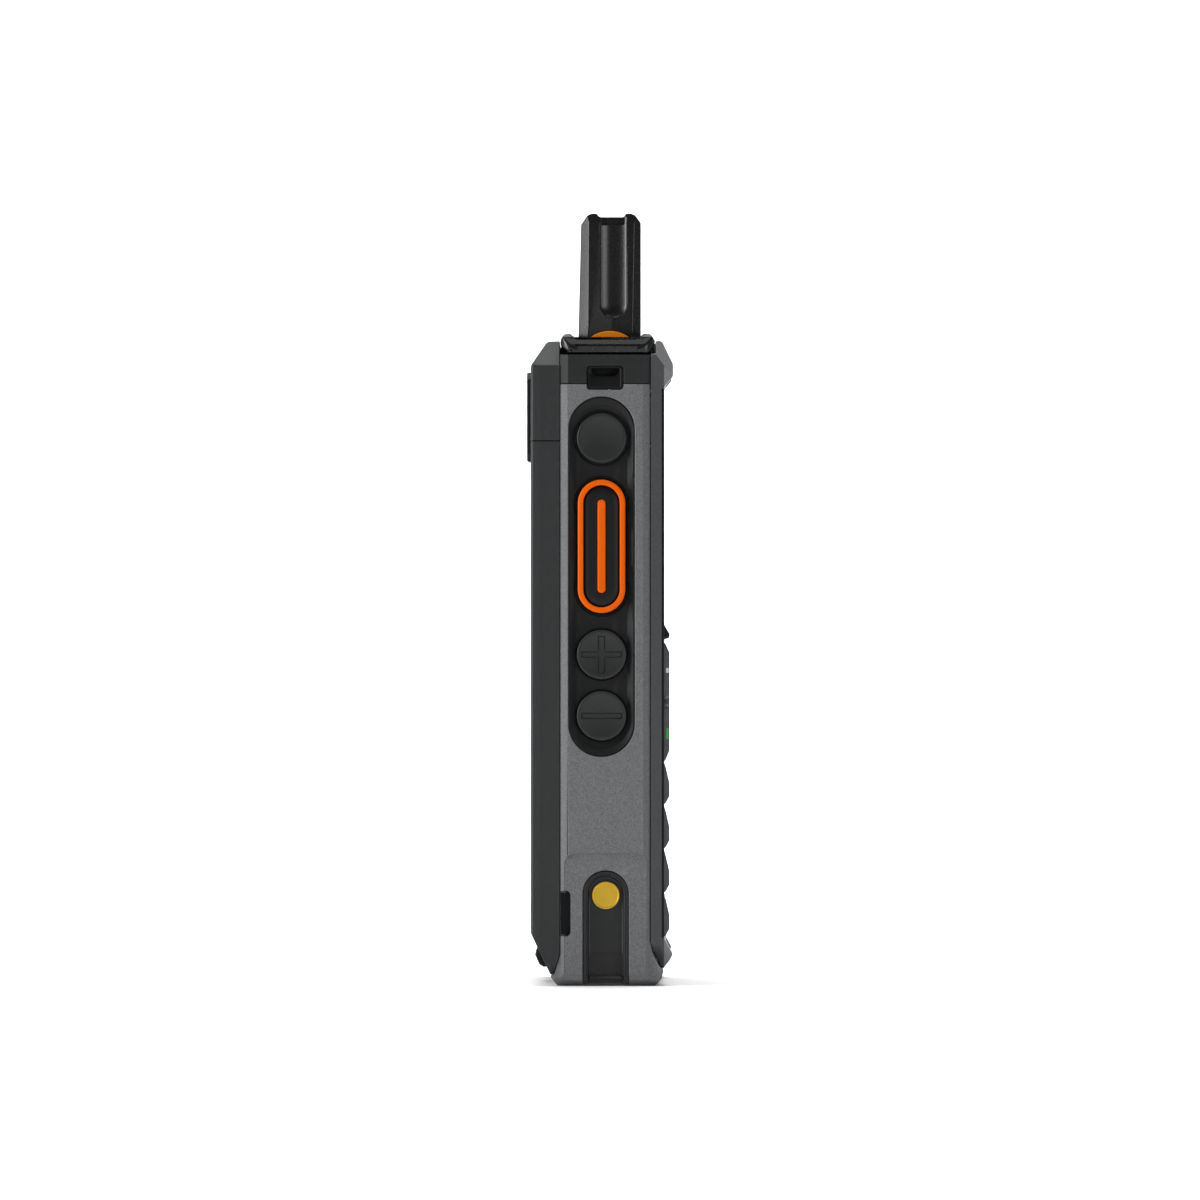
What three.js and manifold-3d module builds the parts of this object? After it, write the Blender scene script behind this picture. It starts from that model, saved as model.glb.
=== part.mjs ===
// Two way radio: a push-to-talk handheld with a stub antenna, side keys, keypad and clip-in battery.
// Millimetres, +Z up. The origin is the middle of the flat foot that the radio stands on.
// The front (screen and keypad) faces -Y, the battery faces +Y, and the talk key is on the -X side.

import * as THREE from "three";
import { mergeVertices } from "three/addons/utils/BufferGeometryUtils.js";
import Module from "manifold-3d";

const wasm = await Module();
wasm.setup();

// ---------------------------------------------------------------- driving dimensions

const SIDE = 27.5; // half width over the side faces
const SHELL_SIDE = 27.1; // half width of the front shell
const BACK_SIDE = 26.9; // half width of the rear cover and the battery where they meet the frame
const FRAME = 8.7; // half depth of the grey frame
const SIDE_WALL = 2.2; // thickness of the frame's side walls
const FRAME_TOP = 116;
const DECK_TOP = 123.7; // flat deck beside the antenna collar
const SHOULDER = 124.3; // top edge of the front shell and the rear cover
const BATTERY_TOP = 105;
const BACK = 14.35; // outer face of the battery and the rear cover
const PLATE_BACK = 15.2; // outer face of the clip plate

// Layers behind the front face, from the front backwards (all -Y).
const KEY_FACE = -12.42;
const PANEL_FACE = -11.4;
const PANEL_BACK = -10.95;
const SHELL_FACE = -10.9;
const SHELL_INNER = -9.7;
const KEY_BACK = -9.6;
const MAT_FACE = -9.1;
const MAT_BACK = -8.2;
const BOARD_FACE = -7.2;
const BOARD_BACK = -6.2;

// Layers behind the talk-key side, from the side face inwards (all -X).
const BEZEL_FLOOR = -26.4;
const BEZEL_INNER = -25.4;
const KEY_FLANGE = -25.2;

const SIDE_KEY_Y = 0.7; // the side keys sit a little towards the battery
const SIDE_KEY_RADIUS = 4.75;
const PTT = { z: 84.75, halfWidth: 4.58, halfLength: 12.85 };
const PROGRAM_Z = 105.6;
const VOLUME_UP_Z = 63.9;
const VOLUME_DOWN_Z = 52.1;
const KEY_POCKET = { halfWidth: 6.4, low: 44.2, high: 113.6 };

const CONTACT = { z: 17.5, radius: 2.68 }; // gold charging pads
const CHANNEL = { halfWidth: 4.45, top: 22.3 }; // arch-topped channels that guide the charging cradle
const LANYARD = { halfWidth: 3.55, low: 114.9, high: 119.5 };
const PORT = { y: -3.2, halfWidth: 3.7, low: 66, high: 84.2 }; // rubber port cover on the +X side

const KEYPAD_WINDOW = { halfWidth: 22.9, low: 9.1, high: 66.4, radius: 1.2 };
const LENS = { halfWidth: 22.4, low: 71.1, high: 103.6, radius: 1.3 };
const SCREEN = { halfWidth: 20.8, low: 72.7, high: 102, radius: 0.8 };
const NUMBER_KEY = { halfWidth: 7.3, halfHeight: 3.85, pitchX: 15.1, pitchZ: 8.53, topRow: 38.8 };
const NAV = { z: 54.8, outer: 9.4, inner: 4.6, okRadius: 4.2 };

const ANTENNA = { x: -15, y: -0.9, base: 125.4, tip: 149.05, halfX: 5.3 };
const COLLAR = { outer: -27.4, inner: -2.6, low: 122, saddle: 124.85, top: 125.8 };

const GAP = 0.15; // clearance between neighbouring solids
const FINE = 8; // segments on a quarter of a large round
const COARSE = 3; // segments on a quarter of a small corner radius

// ---------------------------------------------------------------- solids

// A manifold-3d solid from a closed three.js geometry.
function solid(geometry) {
  const bare = new THREE.BufferGeometry();
  bare.setAttribute("position", geometry.getAttribute("position"));
  bare.setIndex(geometry.getIndex());
  const merged = mergeVertices(bare, 1e-4);
  return new wasm.Manifold(
    new wasm.Mesh({
      numProp: 3,
      vertProperties: merged.getAttribute("position").array,
      triVerts: new Uint32Array(merged.getIndex().array),
    }),
  );
}

function polygon(points) {
  return new THREE.Shape(points.map(([u, v]) => new THREE.Vector2(u, v)));
}

function roundRect(u0, v0, u1, v1, radius) {
  const quarter = Math.PI / 2;
  const shape = new THREE.Shape();
  shape.absarc(u1 - radius, v0 + radius, radius, -quarter, 0);
  shape.absarc(u1 - radius, v1 - radius, radius, 0, quarter);
  shape.absarc(u0 + radius, v1 - radius, radius, quarter, 2 * quarter);
  shape.absarc(u0 + radius, v0 + radius, radius, 2 * quarter, 3 * quarter);
  return shape;
}

// Upright slot shape with fully round ends.
function pill(u, v, halfWidth, halfLength) {
  return roundRect(u - halfWidth, v - halfLength, u + halfWidth, v + halfLength, halfWidth - 1e-3);
}

function circle(u, v, radius) {
  return new THREE.Shape().absarc(u, v, radius, 0, 2 * Math.PI);
}

// An arch: straight sides down from a round top. v is the top of the arch.
function arch(u, halfWidth, low, top) {
  const shape = new THREE.Shape();
  shape.moveTo(u - halfWidth, low);
  shape.lineTo(u + halfWidth, low);
  shape.absarc(u, top - halfWidth, halfWidth, 0, Math.PI);
  return shape;
}

function extrude(shape, depth, steps, turn) {
  const geometry = new THREE.ExtrudeGeometry(shape, {
    depth,
    bevelEnabled: false,
    curveSegments: steps,
  });
  return geometry.applyMatrix4(turn);
}

const TURN_X = new THREE.Matrix4().set(0, 0, 1, 0, 1, 0, 0, 0, 0, 1, 0, 0, 0, 0, 0, 1);
const TURN_Y = new THREE.Matrix4().makeRotationX(Math.PI / 2);
const TURN_Z = new THREE.Matrix4();

// A shape drawn in (Y, Z) and stretched from x0 to x1.
function alongX(shape, x0, x1, steps = COARSE) {
  return solid(extrude(shape, x1 - x0, steps, TURN_X).translate(x0, 0, 0));
}

// A shape drawn in (X, Z) and stretched from y0 to y1.
function alongY(shape, y0, y1, steps = COARSE) {
  return solid(extrude(shape, y1 - y0, steps, TURN_Y).translate(0, y1, 0));
}

// A shape drawn in (X, Y) and stretched from z0 to z1.
function alongZ(shape, z0, z1, steps = COARSE) {
  return solid(extrude(shape, z1 - z0, steps, TURN_Z).translate(0, 0, z0));
}

function box(x0, x1, y0, y1, z0, z1) {
  const geometry = new THREE.BoxGeometry(x1 - x0, y1 - y0, z1 - z0);
  return solid(geometry.translate((x0 + x1) / 2, (y0 + y1) / 2, (z0 + z1) / 2));
}

function join(first, ...others) {
  return others.reduce((sum, other) => sum.add(other), first);
}

function cut(first, ...others) {
  return others.reduce((rest, other) => rest.subtract(other), first);
}

function common(first, ...others) {
  return others.reduce((rest, other) => rest.intersect(other), first);
}

// The same solid on the other side of the radio.
function mirrored(made) {
  return made.mirror([1, 0, 0]);
}

// ---------------------------------------------------------------- materials

function material(color, roughness, metalness = 0) {
  return new THREE.MeshStandardMaterial({ color, roughness, metalness });
}

const MATERIALS = {
  greyShell: material(0x66686b, 0.7),
  darkShell: material(0x3a3c3e, 0.6),
  blackShell: material(0x222324, 0.55),
  blackRubber: material(0x1c1d1e, 0.8),
  orange: material(0xf26a10, 0.5),
  gold: material(0xc79f2e, 0.3, 1),
  glass: material(0x0b0c0e, 0.08),
  circuit: material(0x1d5b3a, 0.5),
  metal: material(0xb8babd, 0.3, 1),
  cell: material(0x8f9499, 0.4, 0.6),
  mesh: material(0x15161a, 0.7),
  lamp: material(0xd8e4dc, 0.2),
};

const radio = new THREE.Group();

function addMesh(name, made, finish, place = [0, 0, 0]) {
  const { vertProperties, triVerts, numProp } = made.getMesh();
  const positions = new Float32Array((vertProperties.length / numProp) * 3);
  for (let i = 0; i < positions.length / 3; i++)
    positions.set(vertProperties.subarray(i * numProp, i * numProp + 3), i * 3);
  const geometry = new THREE.BufferGeometry();
  geometry.setAttribute("position", new THREE.BufferAttribute(positions, 3));
  geometry.setIndex(new THREE.BufferAttribute(triVerts, 1));
  geometry.computeVertexNormals();
  const mesh = new THREE.Mesh(geometry, finish);
  mesh.name = name;
  mesh.position.set(...place);
  radio.add(mesh);
}

// ---------------------------------------------------------------- grey frame

// Plan section of the frame: flat sides with a chamfer along each long edge.
function planSection(halfDepth) {
  const chamfer = [0.8, 1.5];
  const x = SIDE - chamfer[0];
  const y = halfDepth - chamfer[1];
  const reach = 12; // the flared foot passes beyond the straight part
  return polygon([
    [SIDE, -y], [SIDE, y], [x, halfDepth], [x, reach],
    [-x, reach], [-x, halfDepth], [-SIDE, y], [-SIDE, -y],
    [-x, -halfDepth], [-x, -reach], [x, -reach], [x, -halfDepth],
  ]);
}

// Front view of the frame: its foot turns in at both sides.
const frontOutline = polygon([
  [-24.2, 0], [24.2, 0], [26.5, 1.1], [SIDE, 3.1], [SIDE, FRAME_TOP],
  [-SIDE, FRAME_TOP], [-SIDE, 3.1], [-26.5, 1.1],
]);

function mainFrame() {
  const profile = polygon([
    [-9.7, 0], [-10.85, 1.45], [-11.25, 2.95], [-10.55, 3.7], [-9.1, 6.4], [-FRAME, 8.6],
    [-FRAME, FRAME_TOP], [FRAME, FRAME_TOP], [FRAME, 6.1], [9.7, 2.4], [10.6, 1.9], [9.2, 0],
  ]);
  const outside = common(
    alongX(profile, -SIDE, SIDE),
    alongY(frontOutline, -12, 12),
    alongZ(planSection(FRAME), -1, FRAME_TOP + 1),
  );

  const inner = SIDE - SIDE_WALL;
  const boardBay = box(-inner, inner, -12, -0.7, 3.6, FRAME_TOP + 1);
  const batteryBay = box(-21.6, 21.6, 0.7, 12, 4, 103);
  const feedBay = box(-21.6, 21.6, 0.7, 12, 105, 114.6);
  const keyBay = box(-inner, -22.6, -6, 7.2, 43.5, FRAME_TOP - 1.2);
  const keyWindow = alongX(keyPocketShape(0), -SIDE - 1, -inner + 0.1, FINE);
  const channel = alongX(arch(-0.1, CHANNEL.halfWidth, -1, CHANNEL.top), -SIDE - 1, -24.3, FINE);
  const cradleGuide = alongX(
    roundRect(-7.9, -3, 7.9, 25.6, 2.3), -SIDE - 1, -SIDE + 0.4,
  );
  const fingerNotch = alongX(roundRect(6.8, 9.7, 11, 18.3, 0.8), -SIDE - 1, -25.6);
  const strapSlot = alongX(lanyardShape(0), -SIDE - 1, -23.4);
  const portRecess = alongX(portShape(0), 25.8, SIDE + 1);
  const portMouth = box(inner - 1, SIDE, -6.3, -2.6, 69, 80);
  const connectorWindow = box(-6, 6, -2, 2, 7.6, 12.4);
  const wireWindow = box(-17, -13, -2, 2, 107, 112);

  return cut(
    outside,
    boardBay, batteryBay, feedBay, keyBay, keyWindow,
    channel, mirrored(channel), cradleGuide, mirrored(cradleGuide),
    fingerNotch, mirrored(fingerNotch), strapSlot,
    portRecess, portMouth, connectorWindow, wireWindow,
  );
}

// Outline of the side-key pocket, made smaller by inset all round.
function keyPocketShape(inset) {
  const middle = (KEY_POCKET.low + KEY_POCKET.high) / 2;
  const halfLength = (KEY_POCKET.high - KEY_POCKET.low) / 2 - inset;
  return pill(SIDE_KEY_Y, middle, KEY_POCKET.halfWidth - inset, halfLength);
}

function lanyardShape(inset) {
  return roundRect(
    -LANYARD.halfWidth + inset, LANYARD.low + inset, LANYARD.halfWidth - inset, LANYARD.high - inset, 0.7,
  );
}

function portShape(inset) {
  return roundRect(
    PORT.y - PORT.halfWidth + inset, PORT.low + inset,
    PORT.y + PORT.halfWidth - inset, PORT.high - inset, 1.6,
  );
}

// Black insert that lines one charging channel (-X side), open at the foot.
function contactChannel() {
  const body = alongX(arch(-0.1, CHANNEL.halfWidth - GAP, 0.1, CHANNEL.top - GAP), -27, -24.5, FINE);
  const groove = alongX(arch(-0.1, 3.45, -1, CHANNEL.top - 1), -SIDE, -25.3, FINE);
  const deepEnd = box(-SIDE, -25, -3.55, 3.35, -1, 6.4);
  const ledge = box(-25.6, -24.9, -3.2, 3, 0.64, 1.98);
  return common(join(cut(body, groove, deepEnd), ledge), alongY(frontOutline, -9, 9));
}

function chargeContact() {
  return alongX(circle(0, CONTACT.z, CONTACT.radius), -25.95, -25.4, FINE / 2);
}

// Strap scoop: a ramp that leads up into a deep upper hole.
function lanyardAnchor() {
  const body = alongX(lanyardShape(GAP), -27.3, -23.6);
  const ramp = alongY(
    polygon([[-28, 115.4], [-27.3, 115.4], [-25.7, 117.2], [-25.7, 119], [-28, 119]]), -3, 3,
  );
  const hole = box(-26, -24.2, -2.55, 2.55, 117.2, 119);
  return cut(body, ramp, hole);
}

// ---------------------------------------------------------------- top

function topHousing() {
  const outline = polygon([
    [-SIDE, FRAME_TOP + 0.1], [SIDE, FRAME_TOP + 0.1], [SIDE, 119.8], [23.6, DECK_TOP], [-SIDE, DECK_TOP],
  ]);
  const block = common(
    alongY(outline, -FRAME, FRAME),
    alongZ(planSection(FRAME - 0.05), FRAME_TOP, DECK_TOP + 1),
  );
  const collarSeat = box(-SIDE - 1, COLLAR.inner + GAP, -10, 10, COLLAR.low - GAP, DECK_TOP + 1);
  const hollow = box(-22, 24.8, -6.6, 6.6, FRAME_TOP - 1, 120.2);
  const strapSlot = alongX(lanyardShape(0), -SIDE - 1, -23.4);
  const antennaHole = alongZ(circle(ANTENNA.x, ANTENNA.y, 2.2), 119, 125);
  const lampHole = alongZ(roundRect(3.2, -1.1, 8.8, 1.1, 1), 119, 125);
  return cut(block, collarSeat, hollow, strapSlot, antennaHole, lampHole);
}

// Collar round the antenna foot: a rounded bar whose middle dips to a saddle.
function antennaCollar() {
  const side = polygon([
    [-9.5, 123.3], [-9.5, 125], [-8.8, COLLAR.top], [-7.9, COLLAR.top], [-7.1, COLLAR.saddle],
    [6.2, COLLAR.saddle], [7, COLLAR.top], [7.9, COLLAR.top], [8.65, 125], [8.65, 123.3],
    [7, COLLAR.low], [-7.6, COLLAR.low],
  ]);
  const front = polygon([
    [COLLAR.outer, COLLAR.low], [COLLAR.inner, COLLAR.low], [COLLAR.inner, 124.2], [COLLAR.inner - 1.6, 126],
    [COLLAR.outer + 2.2, 126], [COLLAR.outer, 123.8],
  ]);
  const plan = roundRect(COLLAR.outer, -9.5, COLLAR.inner, 8.65, 3);
  const ring = common(
    alongX(side, COLLAR.outer, COLLAR.inner), alongY(front, -10, 10), alongZ(plan, 121, 127),
  );
  return cut(ring, alongZ(circle(ANTENNA.x, ANTENNA.y, 2.4), 121, 127));
}

// Eight-sided antenna body, without its grooves and bore.
function antennaBody() {
  const profile = polygon([
    [-6.9, ANTENNA.base], [-6.9, 147], [-5.4, 148.7], [-4.6, ANTENNA.tip], [-3.8, 148.2],
    [1.2, 148.2], [2, ANTENNA.tip - 0.2], [3, 148.6], [4.5, 147], [5.2, ANTENNA.base],
  ]);
  const face = ANTENNA.halfX;
  const plan = polygon([
    [-face, -5.2], [-face, 3.3], [-face + 1.9, 5.2], [face - 1.9, 5.2],
    [face, 3.3], [face, -5.2], [face - 1.7, -6.9], [-face + 1.7, -6.9],
  ]);
  const tilt = polygon([
    [-face, ANTENNA.base], [face, ANTENNA.base], [face - 0.5, 147.6], [face - 1.6, 150],
    [-face + 1.6, 150], [-face + 0.5, 147.6],
  ]);
  return common(
    alongX(profile, -face, face), alongZ(plan, 125, 150), alongY(tilt, -7, 6),
  ).translate([ANTENNA.x, 0, 0]);
}

// Flat round tab that shows as an orange crescent at the foot of a side face.
function crescent(radius, thickness) {
  const outerFace = ANTENNA.x - ANTENNA.halfX;
  return alongX(circle(ANTENNA.y, 120.1, radius), outerFace - 0.05, outerFace + thickness, FINE);
}

function bothFaces(made) {
  return join(made, made.mirror([1, 0, 0]).translate([2 * ANTENNA.x, 0, 0]));
}

function antennaCover() {
  const scoop = alongX(
    pill(-1.05, 145, 2.45, 16.3), ANTENNA.x - ANTENNA.halfX - 1, ANTENNA.x - ANTENNA.halfX + 1.5, FINE / 2,
  );
  const bore = alongZ(circle(ANTENNA.x, ANTENNA.y, 1.9), 124, 146.6);
  return cut(antennaBody(), bothFaces(scoop), bothFaces(crescent(6.3 + GAP, 0.8)), bore);
}

function antennaRing() {
  const foot = alongZ(
    roundRect(ANTENNA.x - 5.2, -6.6, ANTENNA.x + 5.2, 5, 1.8), 124.95, 125.3,
  );
  const tabs = common(bothFaces(crescent(6.3, 0.65)), box(-30, 0, -10, 10, 124.95, 130));
  const hole = alongZ(circle(ANTENNA.x, ANTENNA.y, 2.1), 124, 126);
  return cut(join(foot, tabs), hole);
}

function antennaCore() {
  const rod = alongZ(circle(ANTENNA.x, ANTENNA.y, 1.6), 118, 146);
  const foot = alongZ(circle(ANTENNA.x, ANTENNA.y, 3), 118, 119.9);
  return join(rod, foot);
}

// ---------------------------------------------------------------- front

function frontShell() {
  const bumperProfile = polygon([
    [-8.9, 8.7], [-9.3, 6.6], [-10.75, 3.95], [-11.3, 3.75], [-12.5, 4.9], [-13.06, 6.1],
    [PANEL_FACE, 9.1], [PANEL_FACE, 115.4], [-13.1, 117.6], [-13.03, 119.8],
    [-11, 123.8], [-10.6, SHOULDER - 0.1], [-8.9, SHOULDER - 0.1],
  ]);
  const outline = polygon([
    [-21.5, 3.6], [21.5, 3.6], [SHELL_SIDE, 8.6], [SHELL_SIDE, 119.6], [22.6, SHOULDER],
    [-22.6, SHOULDER], [-SHELL_SIDE, 119.6], [-SHELL_SIDE, 8.6],
  ]);
  const outside = common(
    alongX(bumperProfile, -SHELL_SIDE, SHELL_SIDE), alongY(outline, -14, -8),
  );
  const brow = box(-15.5, 15.5, -14, -11.9, 115, 125);
  const chin = box(-15.5, 15.5, -14, -11.9, 3, 9.3);
  const panelRecess = box(-30, 30, -14, SHELL_FACE, 9.3, 115.3);
  const inside = box(-25.2, 25.2, SHELL_INNER, -8, 5.5, 122.5);
  const keypad = alongY(windowShape(KEYPAD_WINDOW, 0), -14, -8);
  const lensSeat = alongY(windowShape(LENS, 0.2), -14, -10.25);
  const screen = alongY(windowShape(SCREEN, 0), -14, -8);
  const speaker = alongY(roundRect(-12.6, 106.3, 12.6, 113.2, 2), -14, -8);
  const microphoneHole = box(5.4, 6.6, -14, -8, 6.9, 7.7);
  const collarNotch = box(-30, COLLAR.inner + GAP, -9.75, -8, COLLAR.low - GAP, 125);
  return cut(
    outside, brow, chin, panelRecess, inside, keypad, lensSeat, screen, speaker, microphoneHole, collarNotch,
  );
}

// Outline of a window or of the part that fills it, made larger by grow all round.
function windowShape({ halfWidth, low, high, radius }, grow) {
  return roundRect(-halfWidth - grow, low - grow, halfWidth + grow, high + grow, radius + grow);
}

// Thin black facing with a moulded guard ridge between the screen and the keypad.
function frontPanel() {
  const plate = alongY(roundRect(-26.7, 9.5, 26.7, 115.1, 0.6), PANEL_FACE, PANEL_BACK);
  const ridge = alongX(
    polygon([[-11.1, 70.3], [-12.48, 67.8], [-12.4, 67.2], [-11.4, 66.7], [-11.1, 66.7]]), -23.6, 23.6,
  );
  const keypad = alongY(windowShape(KEYPAD_WINDOW, 0), -14, -8);
  const lens = alongY(windowShape(LENS, 0.2), -14, -8);
  const slots = [107.2, 109, 110.8, 112.6].map((z) =>
    alongY(roundRect(-11.5, z - 0.45, 11.5, z + 0.45, 0.4), -14, -8),
  );
  return cut(join(plate, ridge), keypad, lens, ...slots);
}

function displayModule() {
  return box(-22.2, 22.2, -9.5, BOARD_FACE - GAP, 71, 103.4);
}

function displayLens() {
  return alongY(windowShape(LENS, 0), PANEL_FACE, -10.3);
}

function loudspeaker() {
  const basket = alongY(roundRect(-15, 104.4, 15, 115.2, 4), -9.5, -4.6);
  const magnet = alongY(circle(0, 109.8, 4.5), -4.7, -3.2);
  return join(basket, magnet);
}

function speakerMesh() {
  return alongY(roundRect(-12.4, 106.5, 12.4, 113, 1.8), -10.8, -10.3);
}

// ---------------------------------------------------------------- keypad

// Wave-shaped cross-section shared by the keypad keys, low edge to high edge.
function keyWave(low, high, riseHigh, riseLow) {
  const edge = PANEL_FACE - 0.2;
  return polygon([
    [KEY_BACK, low], [edge, low], [KEY_FACE, low + riseLow], [KEY_FACE, high - riseHigh],
    [edge, high], [KEY_BACK, high],
  ]);
}

function numberKey() {
  const { halfWidth, halfHeight } = NUMBER_KEY;
  return common(
    alongY(roundRect(-halfWidth, -halfHeight, halfWidth, halfHeight, 1), -14, KEY_BACK),
    alongX(keyWave(-halfHeight, halfHeight, 3.5, 1.55), -halfWidth, halfWidth),
  );
}

// One of the four keys beside the navigation ring. It clears the ring by an arc.
function cornerKey(side, low, high, riseHigh, riseLow) {
  const x0 = side < 0 ? -22.5 : 2;
  const blank = common(
    alongY(roundRect(x0, low, x0 + 20.5, high, 1.4), -14, KEY_BACK),
    alongX(keyWave(low, high, riseHigh, riseLow), x0, x0 + 20.5),
  );
  const ringClearance = alongY(circle(0, NAV.z, NAV.outer + 0.45), -15, -8, FINE);
  const middleClearance = box(-3.2, 3.2, -15, -8, 40, 70);
  return cut(blank, ringClearance, middleClearance);
}

function navigationRing() {
  const shape = circle(0, 0, NAV.outer);
  shape.holes.push(circle(0, 0, NAV.inner));
  return alongY(shape, KEY_FACE - 0.1, KEY_BACK, FINE * 2);
}

function okKey() {
  return alongY(circle(0, 0, NAV.okRadius), KEY_FACE + 0.15, KEY_BACK, FINE);
}

const KEY_COLUMNS = [-NUMBER_KEY.pitchX, 0, NUMBER_KEY.pitchX];
const KEY_ROWS = [0, 1, 2, 3].map((row) => NUMBER_KEY.topRow - row * NUMBER_KEY.pitchZ);
const NUMBER_NAMES = [
  ["key_1", "key_2", "key_3"],
  ["key_4", "key_5", "key_6"],
  ["key_7", "key_8", "key_9"],
  ["key_star", "key_0", "key_hash"],
];

// Places of all key centres, used by the rubber mat's pips and the board's switch domes.
const KEY_CENTRES = [
  ...KEY_ROWS.flatMap((z) => KEY_COLUMNS.map((x) => [x, z])),
  [-15.5, 60.8], [15.5, 60.8], [-15.5, 48.7], [15.5, 48.7], [0, NAV.z],
];

function keypadMat() {
  const sheet = alongY(roundRect(-23.6, 8.3, 23.6, 67.4, 2), MAT_FACE, MAT_BACK);
  const pips = KEY_CENTRES.map(([x, z]) => box(x - 0.8, x + 0.8, MAT_BACK - 0.1, -7.8, z - 0.8, z + 0.8));
  return join(sheet, ...pips);
}

// ---------------------------------------------------------------- electronics

function mainBoard() {
  const board = box(-22.3, 23.5, BOARD_FACE, BOARD_BACK, 6, 103.8);
  const domes = KEY_CENTRES.map(([x, z]) =>
    box(x - 1.6, x + 1.6, BOARD_FACE - 0.3, BOARD_FACE + 0.1, z - 1.6, z + 1.6),
  );
  return join(board, ...domes);
}

function shieldCan() {
  return cut(box(-16, 16, -6.1, -4.2, 64, 98), box(-15.5, 15.5, -7, -4.7, 64.5, 97.5));
}

function usbConnector() {
  const body = box(18.2, 25.1, -6.1, -2.8, 70.3, 78.9);
  return cut(body, box(20.5, 26, -5.6, -3.3, 71, 78.2));
}

function batteryConnector() {
  return box(-5.5, 5.5, -6.1, 0.85, 8, 12);
}

function microphone() {
  return box(4, 8, -9.5, -8, 6.6, 8);
}

// ---------------------------------------------------------------- side keys

function sideKeyBezel() {
  const body = alongX(keyPocketShape(GAP), -SIDE, BEZEL_INNER, FINE);
  const pocket = alongX(keyPocketShape(1.25), -SIDE - 1, BEZEL_FLOOR, FINE);
  const roundHoles = [PROGRAM_Z, VOLUME_UP_Z, VOLUME_DOWN_Z].map((z) =>
    alongX(circle(SIDE_KEY_Y, z, SIDE_KEY_RADIUS + 0.2), -28, -25, FINE),
  );
  const talkHole = alongX(
    pill(SIDE_KEY_Y, PTT.z, PTT.halfWidth + 0.2, PTT.halfLength + 0.2), -28, -25, FINE,
  );
  return cut(body, pocket, talkHole, ...roundHoles);
}

// Round side key about its own centre, with the flange that holds it in the bezel.
function roundSideKey() {
  return join(
    alongX(circle(0, 0, SIDE_KEY_RADIUS), -27.6, KEY_FLANGE + 0.1, FINE),
    alongX(circle(0, 0, SIDE_KEY_RADIUS + 0.6), KEY_FLANGE, KEY_FLANGE + 0.6, FINE),
  );
}

// Talk key about its own centre: a centre face on a wider step, with a groove for the bar.
function pttButton() {
  const { halfWidth, halfLength } = PTT;
  const face = alongX(pill(0, 0, 3.4, halfLength - 1.18), -27.6, KEY_FLANGE, FINE);
  const step = alongX(pill(0, 0, halfWidth, halfLength), -26.35, KEY_FLANGE, FINE);
  const flange = alongX(pill(0, 0, halfWidth + 0.6, halfLength + 0.6), KEY_FLANGE, KEY_FLANGE + 0.5, FINE);
  const groove = alongX(pill(0, 0, 0.9, 9.15), -28, -27.1);
  return cut(join(face, step, flange), groove);
}

function pttRing() {
  const outline = pill(0, 0, PTT.halfWidth, PTT.halfLength);
  outline.holes.push(pill(0, 0, 3.5, PTT.halfLength - 1.08));
  return alongX(outline, -27.75, -26.45, FINE);
}

function pttBar() {
  return alongX(pill(0, 0, 0.78, 9), -27.8, -27.2);
}

function sideSwitchBoard() {
  const board = box(-23.4, -22.7, -4.6, 6, 45.5, 112);
  const domes = [PROGRAM_Z, PTT.z + 6, PTT.z - 6, VOLUME_UP_Z, VOLUME_DOWN_Z].map((z) =>
    box(-23.7, -23.3, SIDE_KEY_Y - 1.6, SIDE_KEY_Y + 1.6, z - 1.6, z + 1.6),
  );
  return join(board, ...domes);
}

// ---------------------------------------------------------------- port cover

// Rubber cover with a thumb lip, hinged by its strap at the low end.
function portCover() {
  const cap = alongX(portShape(0.2), 25.95, 27.65);
  const lip = box(27.5, 28.1, PORT.y - 2, PORT.y + 2, PORT.high - 1.6, PORT.high - 0.6);
  const plug = alongX(roundRect(-5.9, 70.6, -3, 78.6, 1.2), 25.3, 26);
  return join(cap, lip, plug);
}

// ---------------------------------------------------------------- back

// Plan section of everything behind the frame: bevelled towards the outer face.
const backSection = polygon([
  [-BACK_SIDE, 8], [BACK_SIDE, 8], [BACK_SIDE, 12.6], [26.7, 13.5], [26.1, BACK],
  [-26.1, BACK], [-26.7, 13.5], [-BACK_SIDE, 12.6],
]);

function rearCover() {
  const profile = polygon([
    [FRAME + 0.05, BATTERY_TOP + 0.2], [BACK, BATTERY_TOP + 0.2],
    [BACK, 119.75], [11.2, SHOULDER], [FRAME + 0.05, SHOULDER],
  ]);
  const outline = polygon([
    [-BACK_SIDE, 105], [BACK_SIDE, 105], [BACK_SIDE, 119.6],
    [22.4, SHOULDER], [-22.4, SHOULDER], [-BACK_SIDE, 119.6],
  ]);
  const shell = common(
    alongX(profile, -BACK_SIDE, BACK_SIDE), alongY(outline, 8, 15), alongZ(backSection, 104, 125),
  );
  const tongue = box(-11.2, 11.2, FRAME + 0.05, BACK, 101.3, BATTERY_TOP + 1);
  const hollow = box(-21.4, 21.4, 8, 12.6, BATTERY_TOP + 1.5, 119.4);
  const screwHoles = [-8, 8].map((x) => alongY(circle(x, 110, 1.3), 12, 15));
  return cut(join(shell, tongue), hollow, ...screwHoles);
}

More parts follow.
